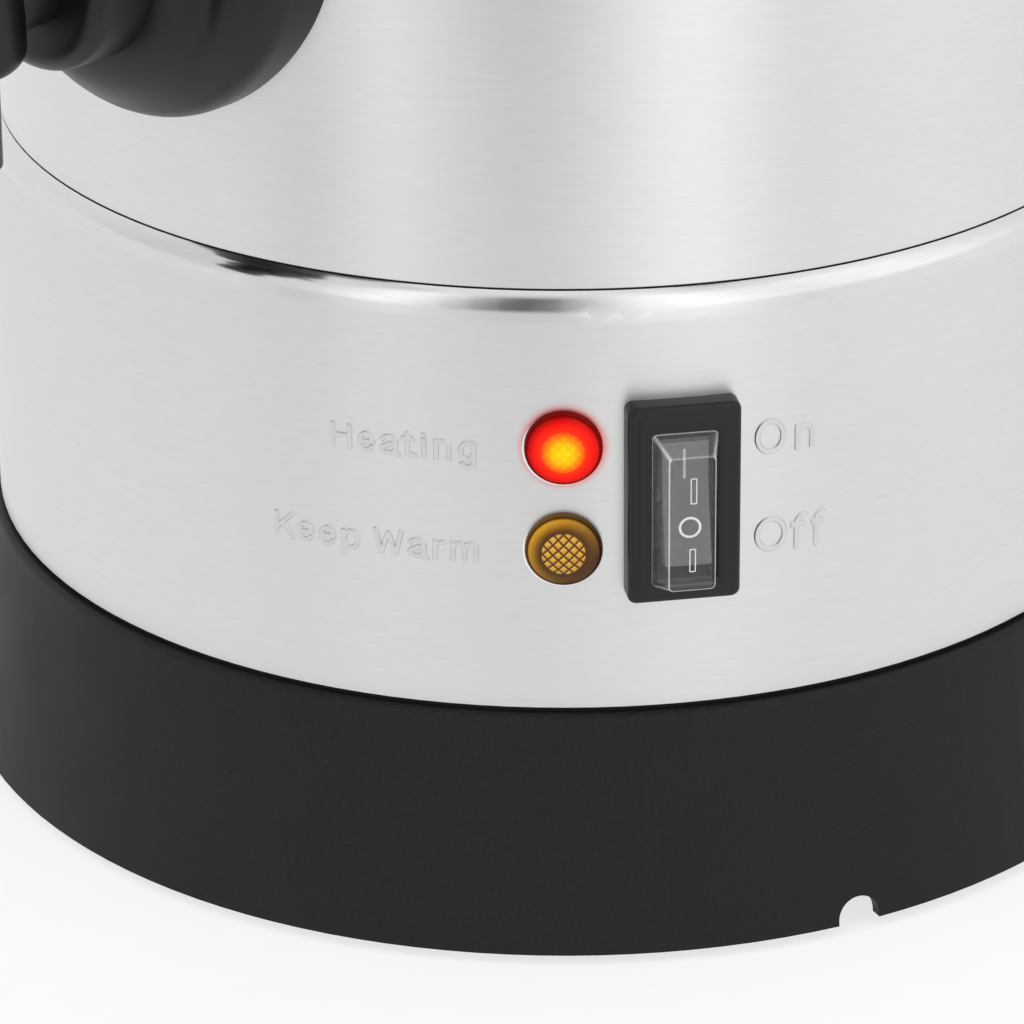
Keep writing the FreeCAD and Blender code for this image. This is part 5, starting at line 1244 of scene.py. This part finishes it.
@dataclass
class Handles(Assembly):
    """The two side handles: a rounded bar bent twice, with feet that sit on the wall.

    The middle line runs from "root" out of the wall, round a quarter circle, along the grip and
    back.  The section is a superellipse |a/w|^n + |b/h|^n = 1.  The first "foot_rows" sections are
    drawn towards the wall, so that the foot sits on it.
    """

    height: float = 320.0
    spread: float = 50.0
    reach: float = 42.0
    bar: float = 13.0
    foot: float = 16.0
    tall: float = 20.0
    corner: float = 17.0
    power: float = 3.2
    root: float = 97.0
    foot_rows: float = 9.0
    foot_rise: float = 10.0

    def route(self) -> tuple[np.ndarray, np.ndarray]:
        """The middle line (across, out) and its unit normals in that plane."""
        far = VESSEL + self.reach - self.bar / 2
        start = np.stack([np.full(14, -self.spread),
                          np.linspace(0.0, 1.0, 14) * (far - self.corner - self.root)
                          + self.root], -1)
        bend = arc((-self.spread + self.corner, far - self.corner), self.corner, 180.0, 90.0, 14)
        grip = np.stack([np.linspace(-self.spread + self.corner, 0.0, 10), np.full(10, far)], -1)
        half = np.concatenate([start, bend[1:], grip[1:]])
        whole = np.concatenate([half, (half * np.array([-1.0, 1.0]))[::-1][1:]])
        along = np.gradient(whole, axis=0)
        along /= np.linalg.norm(along, axis=1, keepdims=True)
        return whole, np.stack([along[:, 1], -along[:, 0]], -1)

    def build(self) -> None:
        """Both handles, the left one the right one's mirror image about the middle plane."""
        line, normal = self.route()
        side, up = superellipse(40, self.power)
        off = np.minimum(np.arange(len(line)), np.arange(len(line))[::-1])
        flare = np.clip(1.0 - off / 13.0, 0.0, 1.0) ** 2
        wide = (self.bar + (self.foot - self.bar) * flare) / 2
        tall = (self.tall - 3.0 * np.clip(off / 26.0, 0.0, 1.0)) / 2
        flat = line[:, None] + normal[:, None] * (side * wide[:, None])[..., None]
        local = np.stack([flat[..., 0], np.broadcast_to(up, flat.shape[:2]) * tall[:, None],
                          flat[..., 1]], -1)
        share = np.clip(1.0 - off / self.foot_rows, 0.0, 1.0)[:, None]
        seat = wall_depth(local[..., 0], VESSEL + SEAT)
        rise = (off / self.foot_rows)[:, None] * self.foot_rise
        local[..., 2] = share * (seat + rise) + (1 - share) * np.maximum(local[..., 2], seat)
        for name, angle in (("right", 90.0), ("left", -90.0)):
            form = Form().grid(Spot(angle, self.height).place(local), caps=True)
            self.settle(form.build(f"grip_{name}", 45.0), Body.URN, "handle_plastic",
                        (f"handle_{name}",))


@dataclass
class Lever(Assembly):
    """The tap's lever: two cheeks round the valve stem and a paddle for the thumb."""

    pin_y: float = -163.2
    pin_z: float = 218.6
    half_width: float = 6.0
    cheek_half: float = 1.05
    start: float = 3.2
    length: float = 48.0
    climb: float = 15.3
    power: float = 2.8

    def cheek(self, form: Form, side: float) -> None:
        """One cheek: the outline has the open slot for the stem's cross pin."""
        outline = rounded_corners(
            [(-11.6, -4.2), (2.1, -4.2), (8.0, 1.05), (14.0, 4.2), (14.0, 9.4), (0.0, 5.5),
             (-11.6, 4.2), (-11.6, 1.8), (-4.2, 1.8), (-4.2, -1.8), (-11.6, -1.8)],
            [1.2, 1.5, 2.0, 0.6, 0.6, 2.0, 0.8, 0.4, 0.9, 0.9, 0.4], 4)
        plate = prism(outline, self.cheek_half, 0.3, 3)
        local = np.stack([plate[..., 0] + side * (self.half_width - self.cheek_half),
                          self.pin_y - plate[..., 1], self.pin_z + plate[..., 2]], -1)
        form.grid(local * MM, caps=True)

    def build(self) -> None:
        """The paddle is a superellipse section whose width and thickness vary along it."""
        form = Form()
        for side in (-1.0, 1.0):
            self.cheek(form, side)
        share = np.linspace(0.0, 1.0, 44)
        forward = self.start + share * (self.length - self.start)
        middle = 0.4 + self.climb * (share ** 1.15)
        thick = 2.9 + 0.4 * np.sin(share * math.pi) - 0.7 * share
        wide = self.half_width - 0.9 * np.sin(share * math.pi) ** 2 + 3.6 * share ** 2.2
        closing = np.sqrt(np.clip(1.0 - ((share - 0.90) / 0.10).clip(0, 1) ** 2, 0.0, 1.0))
        opening = np.sqrt(np.clip(1.0 - ((0.06 - share) / 0.06).clip(0, 1) ** 2, 0.0, 1.0))
        end = np.maximum(np.minimum(closing, opening), 0.02)
        side, up = superellipse(40, self.power)
        hollow = -0.55 * np.maximum(up, 0.0) * (1 - np.abs(np.cos(all_round(40))))
        local = np.stack([
            side[None, :] * (wide * (0.55 + 0.45 * end))[:, None],
            np.broadcast_to((self.pin_y - forward)[:, None], (44, 40)),
            self.pin_z + middle[:, None] + up[None, :] * (thick * end)[:, None]
            + hollow[None, :] * (share ** 2 * end)[:, None]], -1)
        form.grid(local * MM, caps=True)
        self.settle(form.build("lever_paddle", 40.0), Body.LEVER, "lever_plastic", ("tap_lever",))


@dataclass
class GaugeScale(Assembly):
    """Plain level marks, printed on the gauge's glass."""

    reach: float = 126.2
    radius: float = 6.02
    low: float = 228.0
    high: float = 330.0
    count: int = 9
    middle: float = 60.0
    long_mark: float = 34.0
    short_mark: float = 20.0
    half: float = 0.3

    def build(self) -> None:
        """Each mark is a short band on the tube: (r sin a, -r cos a, z) over a small angle."""
        form = Form()
        for step, height in enumerate(np.linspace(self.low, self.high, self.count)):
            wide = self.short_mark if step % 2 else self.long_mark
            turn = np.radians(np.linspace(self.middle - wide, self.middle, 10))
            rows = []
            for out, side in ((-0.015, -1), (0.03, -1), (0.03, 1), (-0.015, 1)):
                r, up = self.radius + out, self.half * side
                rows.append(np.stack([r * np.sin(turn), -self.reach - r * np.cos(turn),
                                      np.full(len(turn), height + up)], -1))
            form.grid(np.stack(rows) * MM, round_rows=True, round_columns=False)
        self.settle(form.build("gauge_marks"), Body.URN, "gauge_glass", (), "print")


# Studio

# Lobes of the round screen, as (middle in degrees, width in degrees, how much brighter).
TONES = ((1.0, 7.0, -0.15), (15.0, 6.0, 0.09), (37.0, 11.0, -0.17), (63.0, 11.0, 0.27),
         (82.0, 5.0, -0.04), (108.0, 22.0, 0.08))
BOXES = ((12.0, 13.0, 0.32), (36.0, 11.0, -0.62), (66.0, 16.0, 0.20), (100.0, 21.0, 0.26),
         (-28.0, 20.0, -0.14))


@dataclass
class Studio:
    """Pale floor, soft lamps, white surroundings and the photograph's camera.

    The camera's place is in millimetres and degrees; "soft_light" is what diffuse surfaces get
    from the world, and "floor_white" how far the floor is pulled to white for the camera.
    """

    turn: float = 43.5
    distance: float = 1081.5
    lift: float = 539.5
    pitch: float = 24.98
    yaw: float = -0.59
    roll: float = -0.44
    lens: float = 210.94
    soft_light: float = 0.52
    floor_white: float = 0.74
    floor_gloss: float = 0.85
    floor_reach: float = 6.0
    screen_radius: float = 0.30
    screen_height: float = 0.7
    screen_light: float = 0.94
    aim_height: float = 0.15

    def camera(self) -> None:
        """The camera's axes: forward from pitch and yaw, then turned about it by the roll."""
        e, yaw, roll = (math.radians(v) for v in (self.pitch, self.yaw, self.roll))
        forward = np.array([math.sin(yaw) * math.cos(e), math.cos(yaw) * math.cos(e), -math.sin(e)])
        right = np.array([math.cos(yaw), -math.sin(yaw), 0.0])
        up = np.cross(right, forward)
        side = right * math.cos(roll) + up * math.sin(roll)
        top = -right * math.sin(roll) + up * math.cos(roll)
        pose = Matrix(np.column_stack([side, top, -forward]).tolist()).to_4x4()
        data = bpy.data.cameras.new("camera")
        data.lens = self.lens
        data.sensor_width = 36.0
        data.clip_start = 0.05
        data.clip_end = 30.0
        camera = bpy.data.objects.new("camera", data)
        bpy.context.scene.collection.objects.link(camera)
        spot = Matrix.Translation(Vector((0.0, -self.distance * MM, self.lift * MM)))
        camera.matrix_world = Matrix.Rotation(math.radians(self.turn), 4, "Z") @ spot @ pose
        bpy.context.scene.camera = camera

    def plane(self, points: np.ndarray, material: bpy.types.Material, hidden: str = "") -> None:
        """A stage surface from a grid of points, and the kinds of ray that don't see it."""
        piece = Form().grid(points, round_columns=False).build(material.name)
        piece.data.materials.append(material)
        for ray in hidden.split():
            setattr(piece, "visible_" + ray, False)

    def floor(self) -> None:
        """A pale floor that reads as white to the camera and to gloss but keeps the shadow."""
        shade = Shade("studio_floor")
        fleck = shade.noise(shade.position(), 90.0, 3.0)
        colour = shade.blend(fleck, (0.80, 0.80, 0.80), (0.86, 0.86, 0.86))
        share = shade.node("LightPath", output="Is Camera Ray") * self.floor_white
        for ray in ("Is Glossy Ray", "Is Transmission Ray"):
            share = share.larger(shade.node("LightPath", output=ray) * self.floor_gloss)
        matte = shade.node("BsdfDiffuse", {"Color": colour})
        white = shade.node("Emission", {"Color": WHITE, "Strength": 1.0})
        side = np.linspace(-self.floor_reach, self.floor_reach, 3)
        grid = np.stack([*np.meshgrid(side, side), np.full((3, 3), -0.0002)], -1)
        self.plane(grid, shade.close(shade.node("MixShader", {0: share, 1: matte, 2: white})))

    def world(self) -> None:
        """White to the camera, to gloss and through glass; a plain soft light for the rest."""
        shade = Shade("studio", world=True)
        seen = shade.node("LightPath", output="Is Camera Ray")
        for ray in ("Is Glossy Ray", "Is Transmission Ray"):
            seen = seen.larger(shade.node("LightPath", output=ray))
        soft, white = (shade.node("Background", {"Color": WHITE, "Strength": strength})
                       for strength in (self.soft_light, 1.0))
        bpy.context.scene.world = shade.close(
            shade.node("MixShader", {0: seen, 1: soft, 2: white}))

    def lamp(self, name: str, angle: float, lift: float, far: float, size: float,
             power: float) -> None:
        """A square soft lamp that looks at the urn's middle.

        Args:
            name: its name.
            angle: degrees from the tap to the right.
            lift: degrees above the floor.
            far: metres from the urn.
            size: side in metres.
            power: watts.
        """
        data = bpy.data.lights.new(name, "AREA")
        data.size = size
        data.energy = power
        lamp = bpy.data.objects.new(name, data)
        bpy.context.scene.collection.objects.link(lamp)
        a, e = math.radians(angle), math.radians(lift)
        way = Vector((math.sin(a) * math.cos(e), -math.cos(a) * math.cos(e), math.sin(e)))
        lamp.location = Vector((0.0, 0.0, self.aim_height)) + way * far
        lamp.rotation_euler = way.to_track_quat("Z", "Y").to_euler()
        lamp.visible_glossy = False

    def lobe(self, away: Wire, rise: float) -> Wire:
        """A soft lobe of the screen: rise * exp(-away^2)."""
        return (away * away * -1.0).maths("EXPONENT") * rise

    def surround(self) -> None:
        """A round screen that only gloss sees, so the steel shows soft upright tones.

        Its brightness is a base plus a few soft lobes, each exp(-((angle - middle) / width)^2).
        Higher up it has soft boxes with dark gaps, which the band's round shoulder mirrors.
        """
        shade = Shade("studio_screen")
        x, y, z = shade.parts(shade.position())
        angle = x.maths("ARCTAN2", y * -1.0) * (180.0 / math.pi)
        glow: Wire | float = self.screen_light
        for middle, width, rise in TONES:
            wrapped = (angle - middle + 180.0).maths("FLOORED_MODULO", 360.0) - 180.0
            glow = glow + self.lobe(wrapped / width, rise)
        box: Wire | float = 0.0
        for middle, width, rise in BOXES:
            box = box + self.lobe((angle - middle) / width, rise)
        glow = glow + box * z.step(0.16, 0.21) * (1.0 - z.step(0.40, 0.58))
        light = shade.node("Emission", {"Color": WHITE, "Strength": glow})
        turn = np.linspace(0, 2 * math.pi, 97)
        rows = [np.stack([self.screen_radius * np.sin(turn), -self.screen_radius * np.cos(turn),
                          np.full(97, level)], -1) for level in (0.0, self.screen_height)]
        self.plane(np.stack(rows), shade.close(light),
                   "camera diffuse transmission volume_scatter shadow")

    def build(self) -> None:
        """The whole studio."""
        bpy.context.scene.view_settings.view_transform = "Standard"
        self.camera()
        self.floor()
        self.world()
        self.surround()
        self.lamp("key_lamp", 5.0, 48.0, 1.7, 1.4, 17.0)
        self.lamp("fill_lamp", 95.0, 35.0, 1.9, 1.4, 9.0)
        self.lamp("top_lamp", 200.0, 70.0, 1.8, 1.6, 9.0)


def main() -> None:
    """Builds the studio and every sub-assembly in order."""
    logging.basicConfig(level=logging.INFO, format="%(message)s")
    Assembly.finishes = make_finishes()
    for part in (Studio(), Frame(), Seam(), Lamps(), Switch(), Lettering(), Shield(), Lever(),
                 GaugeScale(), Handles(), Knob()):
        part.build()
        log.info("built %s", type(part).__name__)


if __name__ == "__main__":
    main()
